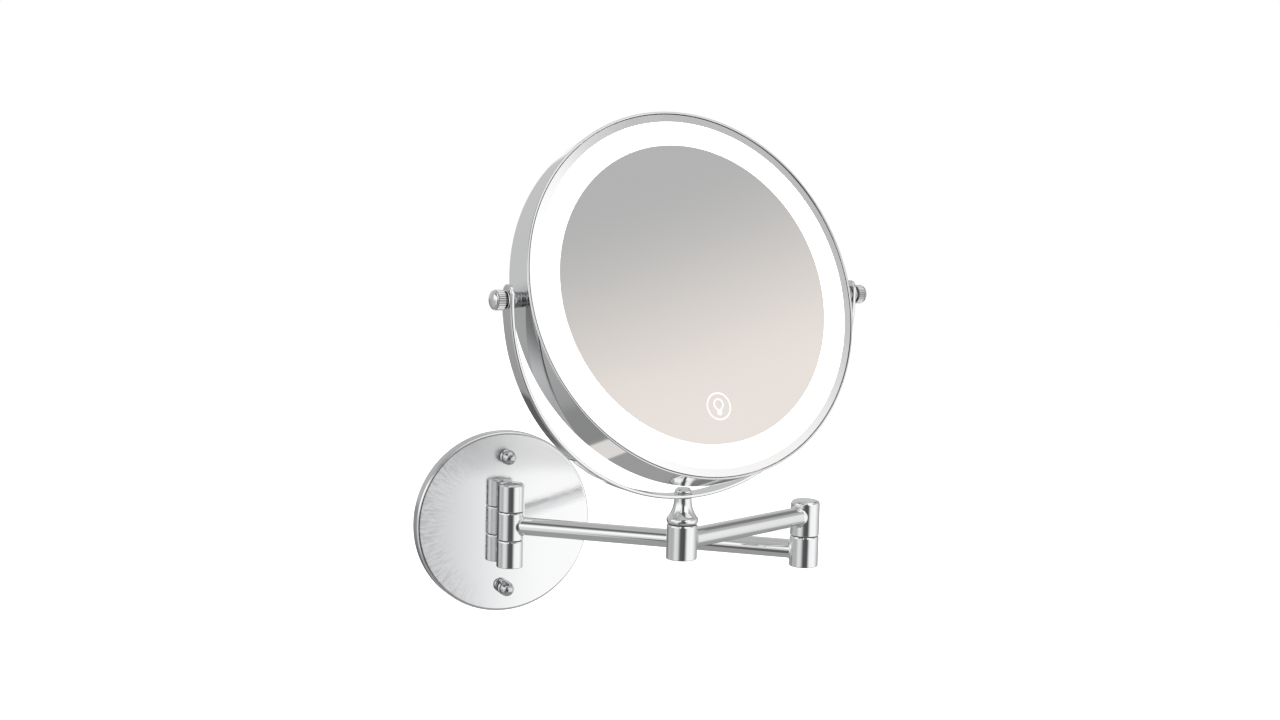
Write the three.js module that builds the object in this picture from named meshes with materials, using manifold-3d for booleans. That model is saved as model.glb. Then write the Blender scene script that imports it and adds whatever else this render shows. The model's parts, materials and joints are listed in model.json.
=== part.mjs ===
// Extendable shaving mirror: a lit, double-sided round mirror in a yoke, on a two-section swing arm
// that folds from a round wall plate. Millimetres, +Z up, the wall is the plane y = 0 and the
// mirror hangs in front of it towards -Y. The origin is the centre of the wall plate's back.

import * as THREE from "three";
import { mergeVertices } from "three/addons/utils/BufferGeometryUtils.js";
import Module from "manifold-3d";

const wasm = await Module();
wasm.setup();

// ---------------------------------------------------------------- driving dimensions

const GAP = 0.3; // clearance between pieces that touch or turn on each other
const RING_STEPS = 48; // facets round the mirror head
const ROUND_STEPS = 24; // facets round barrels, knobs and tubes
const SMALL_STEPS = 14; // facets round pins, screws and washers

// Wall plate
const PLATE_R = 57; // radius at the wall
const PLATE_EDGE = 2; // rounding between the rim and the flat front face
const PLATE_DEPTH = 9; // wall to front face
const PLATE_WALL = 1.2; // sheet thickness
const STUD_SPREAD = 41.6; // cap nuts above and below the centre
const STUD_TOP = 14.4; // wall to the studs' ends, inside the cap nuts
const CAP_NUT = { collar: 4.8, ball: 4.7, ballHeight: 5.4 };
const BAR = { width: 22, length: 106, thick: 2, slotSpread: 27, slotLength: 12, slotWidth: 5.2 };

// Barrels of the three upright hinges
const BARREL_R = 8.5;
const HUB_HEIGHT = 17.2; // moving barrel between the two fixed ones
const SEAM = 0.7; // visible slot between two barrels, which holds a washer
const KNUCKLE_HALF = 26.2; // half the height of the wall knuckle
const KNUCKLE_OUT = 19.6; // wall to the knuckle's axis
const PIN_R = 3; // pins, tube spigots
const PIN_HEAD_R = 5.4;

// Arms
const TUBE_R = 5.6;
const TUBE_WALL = 1;
const ARM1_LENGTH = 185; // knuckle axis to elbow axis
const ARM2_LENGTH = 110; // elbow axis to stem axis
const ARM2_RISE = 20.8; // second arm's centre line above the first's
const ELBOW_TOP = 30; // top of the elbow above the first arm's centre line
const SOCKET = { low: -10.4, top: 8.8 }; // barrel that carries the stem, about the arm's centre line

// Stem and yoke
const PIVOT_HEIGHT = 154; // mirror's tilt axis above the first arm's centre line
const YOKE_R = 109.6; // outside of the bent strip, about the tilt axis
const YOKE_THICK = 2.1;
const YOKE_WIDTH = 10.4;
const YOKE_TIP = 8; // strip's rounded ends above the tilt axis
const NECK_R = 4.8;
const SHOULDER_R = 8.8; // neck's widest place, just above its seam

// Mirror head: w is the distance in front of the tilt axis
const HEAD_R = 101.6;
const HEAD_FRONT = 10.2;
const HEAD_BACK = -11.4;
const CASING_WALL = 1.2;
const LIGHT_R = 95.6; // outside of the lit ring, inside of the front bezel
const GLASS_R = 83.1; // outside of the clear mirror, inside of the lit ring
const GLASS_THICK = 2.5;
const REAR_CURVE_R = 1200; // radius of the magnifying mirror's hollow face
const REAR_GLASS = { radius: 95, thick: 2, rimInside: 92 }; // its bezel covers the outer 3 mm
const CELL = { radius: 5.25, length: 44.5, w: 1.1, count: 3, lowest: 49.5, pitch: 10.8 }; // AAA cells
const BOARD = { width: 44, height: 26, thick: 1.2, y: -58, w: 1.5 }; // control board
const TOUCH = { x: 2.5, y: -62.3, radius: 7.5 }; // touch switch behind the mirror
const KNOB = { radius: 5.3, length: 8.6, flutes: 26, fluteDepth: 0.35 };

// How the arms stand: degrees about the upright hinges and about the tilt axis
const ARM1_TURN = -39.9;
const ARM2_TURN = -116.8;
const YOKE_TURN = 163.7;
const HEAD_TILT = -18.9;

const CELLS_Y = CELL.lowest + ((CELL.count - 1) / 2) * CELL.pitch; // middle of the row of cells
const KNUCKLE_BARREL = KNUCKLE_HALF - HUB_HEIGHT / 2 - SEAM; // height of a fixed barrel
const KNUCKLE_SCREW_Z = HUB_HEIGHT / 2 + SEAM + KNUCKLE_BARREL / 2;
const BORE_R = PIN_R + GAP;
const SCREW_R = 2; // every M4 thread
const SCREW_HOLE_R = SCREW_R + GAP;

// ---------------------------------------------------------------- materials

function finish(color, roughness, metalness) {
  return new THREE.MeshStandardMaterial({ color, roughness, metalness });
}

const chrome = finish(0xd8dadc, 0.06, 1);
const satinSteel = finish(0xc4c6c8, 0.32, 1);
const zincSteel = finish(0x9a9c9e, 0.4, 1);
const brass = finish(0xc9a95a, 0.35, 1);
const nylon = finish(0xe8e6df, 0.5, 0);
const mirrorGlass = finish(0xc6c8ca, 0.02, 1);
const litAcrylic = finish(0xffffff, 0.35, 0);
const whitePlastic = finish(0xe9e9e6, 0.55, 0);
const boardGreen = finish(0x2c6a45, 0.5, 0);
const boardWhite = finish(0xf1f1ec, 0.5, 0);
const blackPlastic = finish(0x26272a, 0.5, 0);
const cellJacket = finish(0x3b4a63, 0.35, 0.3);
const wireRed = finish(0xb02a24, 0.45, 0);

// ---------------------------------------------------------------- solids

function solid(geometry) {
  const bare = geometry.clone();
  bare.deleteAttribute("normal");
  bare.deleteAttribute("uv");
  const merged = mergeVertices(bare, 1e-4);
  const mesh = new wasm.Mesh({
    numProp: 3,
    vertProperties: merged.attributes.position.array,
    triVerts: new Uint32Array(merged.index.array),
  });
  return new wasm.Manifold(mesh);
}

function geometryOf(manifold) {
  const mesh = manifold.getMesh();
  const geometry = new THREE.BufferGeometry();
  geometry.setAttribute("position", new THREE.BufferAttribute(mesh.vertProperties, 3));
  geometry.setIndex(new THREE.BufferAttribute(mesh.triVerts, 1));
  geometry.computeVertexNormals();
  return geometry;
}

function cut(body, ...tools) {
  const whole = body.isBufferGeometry ? solid(body) : body;
  return tools.reduce((left, tool) => left.subtract(solid(tool)), whole);
}

function join(body, ...others) {
  return others.reduce((sum, other) => sum.add(solid(other)), solid(body));
}

// A solid of revolution about +Z from [radius, height] points, listed upwards along the outside.
function turned(points, steps = ROUND_STEPS) {
  const profile = points.map(([radius, height]) => new THREE.Vector2(radius, height));
  return new THREE.LatheGeometry(profile, steps).rotateX(Math.PI / 2);
}

function rod(radius, low, high, steps = SMALL_STEPS) {
  return turned([[0, low], [radius, low], [radius, high], [0, high]], steps);
}

function ring(inner, outer, low, high, steps = SMALL_STEPS) {
  return turned([[inner, low], [outer, low], [outer, high], [inner, high], [inner, low]], steps);
}

function alongX(geometry) {
  return geometry.rotateY(Math.PI / 2);
}

function box(width, depth, height, x = 0, y = 0, z = 0) {
  return new THREE.BoxGeometry(width, depth, height).translate(x, y, z);
}

// Points of an arc in a [radius, height] profile, from one angle to another in degrees.
function arc(centerR, centerZ, radius, from, to, steps = 6) {
  return Array.from({ length: steps + 1 }, (_, i) => {
    const angle = THREE.MathUtils.degToRad(from + ((to - from) * i) / steps);
    return [centerR + radius * Math.cos(angle), centerZ + radius * Math.sin(angle)];
  });
}

// A named mesh in a group.
function piece(group, name, shape, material) {
  const geometry = shape.isBufferGeometry ? shape : geometryOf(shape);
  const mesh = new THREE.Mesh(geometry, material.clone());
  mesh.name = name;
  group.add(mesh);
  return mesh;
}

function groupAt(parent, x, y, z) {
  const group = new THREE.Group();
  group.position.set(x, y, z);
  parent.add(group);
  return group;
}

// ---------------------------------------------------------------- barrels, tubes and plugs

// A barrel with small bevels on both rims.
function barrel(low, high, bevel = 0.4) {
  return turned([
    [0, low],
    [BARREL_R - bevel, low],
    [BARREL_R, low + bevel],
    [BARREL_R, high - bevel],
    [BARREL_R - bevel, high],
    [0, high],
  ]);
}

// The hole in a barrel's side that takes a tube's plug, pointing along +X or -X.
function plugHole(side, z = 0) {
  const ends = [side * 4.6, side * (BARREL_R + 1)];
  return alongX(rod(BORE_R, Math.min(...ends), Math.max(...ends))).translate(0, 0, z);
}

// A tube between two barrels, its ends hollowed to sit on them.
function armTube(length) {
  const reach = BARREL_R - 3;
  const tube = alongX(ring(TUBE_R - TUBE_WALL, TUBE_R, reach, length - reach, ROUND_STEPS));
  const nearBarrel = rod(BARREL_R + GAP, -TUBE_R * 2, TUBE_R * 2, ROUND_STEPS * 2);
  const farBarrel = nearBarrel.clone().translate(length, 0, 0);
  return cut(tube, nearBarrel, farBarrel);
}

// The stepped plug that fixes a tube's end to a barrel; it starts in the barrel and runs along +X.
function tubePlug() {
  const shoulder = BARREL_R + 1.5;
  return alongX(
    turned([
      [0, 5],
      [PIN_R, 5],
      [PIN_R, shoulder],
      [TUBE_R - TUBE_WALL - GAP, shoulder],
      [TUBE_R - TUBE_WALL - GAP, shoulder + 12],
      [0, shoulder + 12],
    ], SMALL_STEPS),
  );
}

// A headed pin standing on +Z, the head at its lower end.
function headedPin(headLow, headHigh, top) {
  return turned([
    [0, headLow],
    [PIN_HEAD_R, headLow],
    [PIN_HEAD_R, headHigh],
    [PIN_R, headHigh],
    [PIN_R, top],
    [0, top],
  ], SMALL_STEPS);
}

function seamWasher(middle) {
  const half = (SEAM - GAP) / 2;
  return ring(BORE_R + GAP, BARREL_R - 0.9, middle - half, middle + half);
}

// ---------------------------------------------------------------- wall plate and knuckle

function wallCover() {
  const inside = PLATE_DEPTH - PLATE_WALL;
  const shell = turned([
    [0, inside],
    [PLATE_R - PLATE_WALL - 1, inside],
    [PLATE_R - PLATE_WALL, inside - 1],
    [PLATE_R - PLATE_WALL, 0],
    [PLATE_R, 0],
    ...arc(PLATE_R - PLATE_EDGE, PLATE_DEPTH - PLATE_EDGE, PLATE_EDGE, 0, 90, 4),
    [0, PLATE_DEPTH],
  ], RING_STEPS);
  const hole = rod(SCREW_HOLE_R, 0, PLATE_DEPTH * 2);
  const heights = [STUD_SPREAD, -STUD_SPREAD, KNUCKLE_SCREW_Z, -KNUCKLE_SCREW_Z];
  return cut(shell, ...heights.map((y) => hole.clone().translate(0, y, 0)));
}

function slotted(outline, x, y, length, width) {
  const slot = new THREE.Path();
  const reach = (length - width) / 2;
  slot.absarc(x + reach, y, width / 2, -Math.PI / 2, Math.PI / 2, false);
  slot.absarc(x - reach, y, width / 2, Math.PI / 2, (Math.PI * 3) / 2, false);
  outline.holes.push(slot);
}

function mountingBar() {
  const outline = new THREE.Shape();
  const reach = (BAR.length - BAR.width) / 2;
  outline.absarc(0, reach, BAR.width / 2, 0, Math.PI, false);
  outline.absarc(0, -reach, BAR.width / 2, Math.PI, Math.PI * 2, false);
  for (const side of [1, -1]) {
    slotted(outline, 0, side * BAR.slotSpread, BAR.slotLength, BAR.slotWidth);
    const hole = new THREE.Path();
    hole.absarc(0, side * STUD_SPREAD, SCREW_HOLE_R, 0, Math.PI * 2, true);
    outline.holes.push(hole);
  }
  return new THREE.ExtrudeGeometry(outline, { depth: BAR.thick, bevelEnabled: false, curveSegments: 6 });
}

// A stud with a collar that clamps it to the bar.
function stud() {
  const collar = BAR.thick + GAP;
  return turned([
    [0, GAP],
    [SCREW_R, GAP],
    [SCREW_R, collar],
    [3.8, collar],
    [3.8, collar + 2.6],
    [SCREW_R, collar + 2.6],
    [SCREW_R, STUD_TOP],
    [0, STUD_TOP],
  ], SMALL_STEPS);
}

// A domed nut: collar, groove and ball end over a blind hole.
function capNut() {
  const foot = PLATE_DEPTH + GAP;
  const { collar, ball, ballHeight } = CAP_NUT;
  const outside = turned([
    [0, foot],
    [collar, foot],
    [collar, foot + 2],
    [collar - 0.7, foot + 2.5],
    ...arc(0, foot + ballHeight, ball, -32, 90, 7),
  ], SMALL_STEPS);
  return cut(outside, rod(SCREW_HOLE_R, foot - 1, STUD_TOP + GAP));
}

// The screw that holds a fixed barrel to the cover, from behind.
function knuckleScrew() {
  const headTop = PLATE_DEPTH - PLATE_WALL - GAP;
  return turned([
    [0, headTop - 2.2],
    [3.6, headTop - 2.2],
    [3.6, headTop],
    [SCREW_R, headTop],
    [SCREW_R, KNUCKLE_OUT - BORE_R - 1],
    [0, KNUCKLE_OUT - BORE_R - 1],
  ], SMALL_STEPS);
}

// The foot of a fixed barrel, reaching back to the cover.
function knuckleFoot(z) {
  return rod(4.4, -KNUCKLE_OUT + PLATE_DEPTH + GAP, -BORE_R - 1.5)
    .rotateX(Math.PI / 2)
    .translate(0, 0, z);
}

function knuckleScrewHole(z) {
  const mouth = KNUCKLE_OUT - PLATE_DEPTH + 1;
  return rod(SCREW_HOLE_R, -mouth, -BORE_R - 0.6)
    .rotateX(Math.PI / 2)
    .translate(0, 0, z);
}

// The upper fixed barrel: a shallow dish in its top, a blind bore from below.
function knuckleTop() {
  const low = HUB_HEIGHT / 2 + SEAM;
  const lip = BARREL_R - 1.4;
  const outside = turned([
    [0, low],
    [BARREL_R - 0.4, low],
    [BARREL_R, low + 0.4],
    [BARREL_R, KNUCKLE_HALF - 0.7],
    [BARREL_R - 0.7, KNUCKLE_HALF],
    [lip, KNUCKLE_HALF],
    [lip - 0.5, KNUCKLE_HALF - 0.5],
    [0, KNUCKLE_HALF - 0.5],
  ]);
  const body = join(outside, knuckleFoot(KNUCKLE_SCREW_Z));
  return cut(body, rod(BORE_R, low - 1, KNUCKLE_HALF - 3), knuckleScrewHole(KNUCKLE_SCREW_Z));
}

// The lower fixed barrel: bored through, with a recess for the pin's head.
function knuckleBottom() {
  const high = -HUB_HEIGHT / 2 - SEAM;
  const body = join(barrel(-KNUCKLE_HALF, high), knuckleFoot(-KNUCKLE_SCREW_Z));
  return cut(
    body,
    rod(BORE_R, -KNUCKLE_HALF - 1, high + 1),
    rod(PIN_HEAD_R + GAP, -KNUCKLE_HALF - 1, -KNUCKLE_HALF + 4),
    knuckleScrewHole(-KNUCKLE_SCREW_Z),
  );
}

function buildWall(root) {
  const outward = groupAt(root, 0, 0, 0);
  outward.rotation.x = Math.PI / 2;
  piece(outward, "wall_cover", wallCover(), satinSteel);
  piece(outward, "mounting_bar", mountingBar(), zincSteel);
  for (const [place, side] of [["upper", 1], ["lower", -1]]) {
    piece(outward, `stud_${place}`, stud(), zincSteel).position.y = side * STUD_SPREAD;
    piece(outward, `cap_nut_${place}`, capNut(), chrome).position.y = side * STUD_SPREAD;
    piece(outward, `knuckle_screw_${place}`, knuckleScrew(), zincSteel).position.y = side * KNUCKLE_SCREW_Z;
  }
  const knuckle = groupAt(root, 0, -KNUCKLE_OUT, 0);
  piece(knuckle, "knuckle_top", knuckleTop(), chrome);
  piece(knuckle, "knuckle_bottom", knuckleBottom(), chrome);
  const headLow = -KNUCKLE_HALF + 0.8;
  piece(knuckle, "knuckle_pin", headedPin(headLow, headLow + 2.8, KNUCKLE_HALF - 3.6), zincSteel);
  const seamMiddle = HUB_HEIGHT / 2 + SEAM / 2;
  piece(knuckle, "knuckle_washer_upper", seamWasher(seamMiddle), nylon);
  piece(knuckle, "knuckle_washer_lower", seamWasher(-seamMiddle), nylon);
}

// ---------------------------------------------------------------- first arm, along its own +X

function buildArm1(parent) {
  const arm = groupAt(parent, 0, -KNUCKLE_OUT, 0);
  arm.rotation.z = THREE.MathUtils.degToRad(ARM1_TURN);
  const half = HUB_HEIGHT / 2;
  const bore = rod(BORE_R, -half - 2, half + 1);
  piece(arm, "arm1_hub", cut(barrel(-half, half), bore, plugHole(1)), chrome);
  piece(arm, "arm1_tube", armTube(ARM1_LENGTH), chrome);
  piece(arm, "arm1_root_plug", tubePlug(), zincSteel);
  const tipPlug = piece(arm, "arm1_tip_plug", tubePlug(), zincSteel);
  tipPlug.rotation.z = Math.PI;
  tipPlug.position.x = ARM1_LENGTH;

  const low = -half - 1;
  const elbow = groupAt(arm, ARM1_LENGTH, 0, 0);
  const recess = rod(PIN_HEAD_R + GAP, low - 1, low + 3.4);
  piece(elbow, "arm1_end_barrel", cut(barrel(low, half), bore, recess, plugHole(-1)), chrome);
  piece(elbow, "elbow_pin", headedPin(low + 0.6, low + 3.1, ELBOW_TOP - 3.6), zincSteel);
  return elbow;
}

// ---------------------------------------------------------------- second arm, along its own +X

// The elbow's upper barrel: rounded over at the top, a blind bore from below.
function elbowBarrel() {
  const low = HUB_HEIGHT / 2 + SEAM - ARM2_RISE;
  const top = ELBOW_TOP - ARM2_RISE;
  const fillet = 2.4;
  const outside = turned([
    [0, low],
    [BARREL_R - 0.4, low],
    [BARREL_R, low + 0.4],
    ...arc(BARREL_R - fillet, top - fillet, fillet, 0, 90),
    [0, top],
  ]);
  return cut(outside, rod(BORE_R, low - 1, top - 3), plugHole(1));
}

function socketBarrel() {
  const bore = rod(BORE_R, SOCKET.low - 1, SOCKET.top + 1);
  const recess = rod(PIN_HEAD_R + GAP, SOCKET.low - 1, SOCKET.low + 3.4);
  return cut(barrel(SOCKET.low, SOCKET.top, 0.6), bore, recess, plugHole(-1));
}

function buildArm2(elbow) {
  const arm = groupAt(elbow, 0, 0, ARM2_RISE);
  arm.rotation.z = THREE.MathUtils.degToRad(ARM2_TURN);
  const seamMiddle = HUB_HEIGHT / 2 + SEAM / 2 - ARM2_RISE;
  piece(arm, "arm2_elbow_barrel", elbowBarrel(), chrome);
  piece(arm, "elbow_washer", seamWasher(seamMiddle), nylon);
  piece(arm, "arm2_tube", armTube(ARM2_LENGTH), chrome);
  piece(arm, "arm2_root_plug", tubePlug(), zincSteel);
  const tipPlug = piece(arm, "arm2_tip_plug", tubePlug(), zincSteel);
  tipPlug.rotation.z = Math.PI;
  tipPlug.position.x = ARM2_LENGTH;
  const stem = groupAt(arm, ARM2_LENGTH, 0, 0);
  piece(stem, "arm2_socket", socketBarrel(), chrome);
  return stem;
}

// ---------------------------------------------------------------- stem and yoke, about the stem axis

// The neck: a rounded shoulder on the socket, swept in to a slim waist below the yoke.
function stemNeck(low, high) {
  const meet = 38; // degrees above level at which the shoulder turns into the sweep
  const shoulder = { radius: 2.6, centerR: SHOULDER_R - 2.6, centerZ: low + 1.6 };
  const along = [Math.cos(THREE.MathUtils.degToRad(meet)), Math.sin(THREE.MathUtils.degToRad(meet))];
  const shoulderEnd = shoulder.centerR + shoulder.radius * along[0];
  const sweepRadius = (shoulderEnd - NECK_R) / (1 - along[0]);
  const apart = shoulder.radius + sweepRadius;
  const outside = turned([
    [0, low],
    [SHOULDER_R - 0.9, low],
    ...arc(shoulder.centerR, shoulder.centerZ, shoulder.radius, -30, meet, 5),
    ...arc(shoulder.centerR + apart * along[0], shoulder.centerZ + apart * along[1],
      sweepRadius, 180 + meet, 180, 6).slice(1),
    [NECK_R + 0.1, high],
    [0, high],
  ]);
  return cut(outside, rod(BORE_R, low - 1, high + 1));
}

// The bent strip: a half ring with straight, rounded ends above the tilt axis.
function yokeStrip() {
  const inner = YOKE_R - YOKE_THICK;
  const outline = new THREE.Shape();
  outline.absarc(0, 0, YOKE_R, Math.PI, Math.PI * 2, false);
  outline.lineTo(YOKE_R, YOKE_TIP);
  outline.lineTo(inner, YOKE_TIP);
  outline.lineTo(inner, 0);
  outline.absarc(0, 0, inner, Math.PI * 2, Math.PI, true);
  outline.lineTo(-inner, YOKE_TIP);
  outline.lineTo(-YOKE_R, YOKE_TIP);
  const strip = new THREE.ExtrudeGeometry(outline, {
    depth: YOKE_WIDTH,
    bevelEnabled: false,
    curveSegments: RING_STEPS / 2,
  }).translate(0, 0, -YOKE_WIDTH / 2).rotateX(Math.PI / 2);

  const side = new THREE.Shape();
  const half = YOKE_WIDTH / 2;
  side.moveTo(half + 1, -YOKE_R - 1);
  side.lineTo(half + 1, 0);
  side.lineTo(half, YOKE_TIP - half);
  side.absarc(0, YOKE_TIP - half, half, 0, Math.PI, false);
  side.lineTo(-half - 1, 0);
  side.lineTo(-half - 1, -YOKE_R - 1);
  const envelope = new THREE.ExtrudeGeometry(side, {
    depth: YOKE_R * 2 + 4,
    bevelEnabled: false,
    curveSegments: 10,
  })
    .translate(0, 0, -YOKE_R - 2)
    .rotateY(Math.PI / 2)
    .rotateX(Math.PI / 2);
  const trimmed = solid(strip).intersect(solid(envelope));
  const pivotHole = alongX(rod(SCREW_HOLE_R, -YOKE_R - 2, YOKE_R + 2));
  const stemHole = rod(SCREW_HOLE_R, -YOKE_R - 2, -inner + 2);
  return cut(trimmed, pivotHole, stemHole);
}

// A low domed nut inside the yoke.
function yokeNut(low) {
  const outside = turned([
    [0, low],
    [4.6, low],
    [4.6, low + 0.8],
    ...arc(3, low + 0.8, 1.6, 20, 90, 3),
    [0, low + 2.4],
  ]);
  return cut(outside, rod(SCREW_HOLE_R, low - 1, low + 1.5));
}

function buildYoke(stem) {
  const yoke = groupAt(stem, 0, 0, 0);
  yoke.rotation.z = THREE.MathUtils.degToRad(YOKE_TURN);
  const pivotZ = PIVOT_HEIGHT - ARM2_RISE;
  const yokeBottom = pivotZ - YOKE_R;
  const yokeFloor = yokeBottom + YOKE_THICK;
  const neckLow = SOCKET.top + SEAM;
  const nutLow = yokeFloor + 0.3 + 0.6;
  piece(yoke, "stem_neck", stemNeck(neckLow, yokeBottom - GAP), chrome);
  piece(yoke, "yoke_strip", yokeStrip(), chrome).position.z = pivotZ;
  piece(yoke, "yoke_washer", ring(SCREW_HOLE_R, 5.2, yokeFloor + 0.2, nutLow - 0.2), chrome);
  piece(yoke, "yoke_nut", yokeNut(nutLow), chrome);
  piece(yoke, "stem_washer", seamWasher(SOCKET.top + SEAM / 2), nylon);
  const spindleFoot = SOCKET.low + 1.2;
  const spindle = turned([
    [0, spindleFoot],
    [SCREW_R, spindleFoot],
    [SCREW_R, SOCKET.low + 3.6],
    [PIN_R, SOCKET.low + 3.6],
    [PIN_R, yokeBottom - 1.5],
    [SCREW_R, yokeBottom - 1.5],
    [SCREW_R, nutLow + 1.2],
    [0, nutLow + 1.2],
  ], SMALL_STEPS);
  piece(yoke, "stem_spindle", spindle, zincSteel);
  const retainer = ring(SCREW_HOLE_R, PIN_HEAD_R, SOCKET.low + 0.6, SOCKET.low + 3.1);
  piece(yoke, "stem_retainer", retainer, chrome);
  return groupAt(yoke, 0, 0, pivotZ);
}

// ---------------------------------------------------------------- mirror head
// In the head's face frame +Z looks out of the lit side, +Y is up and X is the tilt axis.

function casingRing() {
  const inner = HEAD_R - CASING_WALL;
  const lip = 0.6;
  const shell = turned([
    [inner, HEAD_BACK],
    [HEAD_R - lip, HEAD_BACK],
    [HEAD_R, HEAD_BACK + lip],
    [HEAD_R, HEAD_FRONT - lip],
    [HEAD_R - lip, HEAD_FRONT],
    [inner, HEAD_FRONT],
    [inner, HEAD_BACK],
  ], RING_STEPS);
  return cut(shell, alongX(rod(SCREW_HOLE_R, -HEAD_R - 2, HEAD_R + 2)));
}

// A bezel's L section: a flat rim and a skirt inside the casing.
function bezel(rimInner, rimOut, rimIn, skirtEnd) {
  const outer = HEAD_R - CASING_WALL - GAP;
  const skirtInner = outer - 1.2;
  const bevel = 0.3 * Math.sign(rimOut - rimIn);
  const points = [
    [rimInner, rimIn],
    [skirtInner, rimIn],
    [skirtInner, skirtEnd],
    [outer, skirtEnd],
    [outer, rimOut - bevel],
    [outer - 0.3, rimOut],
    [rimInner + 0.3, rimOut],
    [rimInner, rimOut - bevel],
    [rimInner, rimIn],
  ];
  return turned(rimOut > rimIn ? points : points.reverse(), RING_STEPS);
}

function lightDiffuser(top) {
  const lip = LIGHT_R + 1.4;
  return turned([
    [GLASS_R + GAP, top - 2],
    [lip, top - 2],
    [lip, top - 1.4],
    [LIGHT_R - GAP, top - 1.4],
    [LIGHT_R - GAP, top - 0.3],
    [LIGHT_R - GAP - 0.3, top],
    [GLASS_R + GAP + 0.3, top],
    [GLASS_R + GAP, top - 0.3],
    [GLASS_R + GAP, top - 2],
  ], RING_STEPS);
}

// How far the magnifying mirror's face falls in, from its rim radius to a smaller radius.
function rearSag(rim, radius) {
  return (rim * rim - radius * radius) / (2 * REAR_CURVE_R);
}

// The magnifying mirror: even thickness, its hollow face to the rear.
function rearGlass(rimFace) {
  const steps = 4;
  const { radius, thick } = REAR_GLASS;
  const face = Array.from({ length: steps + 1 }, (_, i) => {
    const r = (radius * i) / steps;
    return [r, rimFace + rearSag(radius, r)];
  });
  const inside = face.map(([r, w]) => [r, w + thick]).reverse();
  return turned([...face, ...inside], RING_STEPS);
}

// The tray that carries the mirror and the light: a floor, and a channel for the LED board.
function chassisTray(floor) {
  const inside = GLASS_R - 1;
  const outside = LIGHT_R + 1.4;
  const channel = floor - 2.8;
  const wall = 1.2;
  const body = turned([
    [0, floor],
    [inside - wall, floor],
    [inside - wall, channel],
    [outside, channel],
    [outside, floor + 1],
    [outside - wall, floor + 1],
    [outside - wall, channel + wall],
    [inside, channel + wall],
    [inside, floor + wall],
    [0, floor + wall],
  ], RING_STEPS);
  const window = box(CELL.length + 8, CELL.count * CELL.pitch + 3.6, 20, 0, CELLS_Y, floor);
  return cut(body, window);
}

// A ring-shaped board with one raised LED package for every step round it.
function ledBoard(low) {
  const count = 30;
  const middle = (GLASS_R + LIGHT_R) / 2;
  const board = ring(GLASS_R + 1, LIGHT_R - 1.2, low, low + 1, RING_STEPS);
  const chips = Array.from({ length: count }, (_, i) =>
    box(3.5, 2.8, 1.2, 0, middle, low + 1.3).rotateZ((i * Math.PI * 2) / count),
  );
  return join(board, ...chips);
}

// The open box that holds the cells side by side.
function batteryHolder() {
  const depth = CELL.count * CELL.pitch + 2;
  const width = CELL.length + 6;
  const floor = CELL.w - CELL.radius - 0.9;
  const outside = box(width, depth, 6, 0, CELLS_Y, floor + 3);
  const inside = box(width - 1.6, depth - 1.2, 6, 0, CELLS_Y, floor + 3.6);
  return cut(outside, inside);
}

function cell() {
  const half = CELL.length / 2;
  return alongX(
    turned([
      [0, -half],
      [CELL.radius - 0.5, -half],
      [CELL.radius, -half + 0.5],
      [CELL.radius, half - 1.5],
      [CELL.radius - 0.6, half - 0.9],
      [1.9, half - 0.9],
      [1.9, half],
      [0, half],
    ], SMALL_STEPS),
  );
}

// An insulated lead along a smooth line of points.
function lead(points) {
  const section = new THREE.Shape();
  section.absarc(0, 0, 0.6, 0, Math.PI * 2, false);
  const line = points.map(([x, y, z]) => new THREE.Vector3(x, y, z));
  return new THREE.ExtrudeGeometry(section, {
    extrudePath: new THREE.CatmullRomCurve3(line),
    steps: 14,
    curveSegments: 3,
    bevelEnabled: false,
  });
}

// The block inside the casing that a knob's screw threads into, on the +X side.
function pivotBoss() {
  const outer = HEAD_R - CASING_WALL - GAP - 0.2;
  const block = box(6, 10, 5.4, outer - 3, 0, -0.9);
  return cut(block, alongX(rod(SCREW_HOLE_R, outer - 10, outer + 2)));
}

// The spacer between the casing and the yoke: a plain body, a groove and a flange at the yoke.
function pivotBush(low, high) {
  const body = 4.1;
  const flange = 4.9;
  return turned([
    [SCREW_HOLE_R, low],
    [body, low],
    [body, high - 2.6],
    [body - 0.5, high - 2.3],
    [body - 0.5, high - 2],
    [flange, high - 1.8],
    [flange, high],
    [SCREW_HOLE_R, high],
    [SCREW_HOLE_R, low],
  ], 24);
}

// The fluted band of a knob: an outline that dips at each flute.
function flutedBand(low, high) {
  const outline = new THREE.Shape();
  const step = Math.PI / KNOB.flutes;
  for (let i = 0; i < KNOB.flutes * 2; i += 1) {
    const radius = KNOB.radius - (i % 2) * KNOB.fluteDepth;
    const corner = [radius * Math.cos(i * step), radius * Math.sin(i * step)];
    if (i === 0) outline.moveTo(...corner);
    else outline.lineTo(...corner);
  }
  outline.closePath();
  const depth = high - low;
  return new THREE.ExtrudeGeometry(outline, { depth, bevelEnabled: false }).translate(0, 0, low);
}

// A fluted knob with a rounded end and its screw, pointing along +X from the yoke.
function pivotKnob() {
  const foot = YOKE_R + 1.2;
  const bandTop = foot + 3.7;
  const tip = YOKE_R + GAP + KNOB.length;
  const dome = 3.9;
  const cap = turned([
    [0, foot + 1],
    [KNOB.radius - 0.7, foot + 1],
    [KNOB.radius - 0.7, bandTop + 0.4],
    ...arc(KNOB.radius - 0.7 - dome, tip - dome, dome, 10, 90, 5),
    [0, tip],
  ]);
  const shank = rod(SCREW_R, HEAD_R - 9, foot + 1.5);
  return geometryOf(join(flutedBand(foot, bandTop), cap, shank)).rotateY(Math.PI / 2);
}

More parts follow.
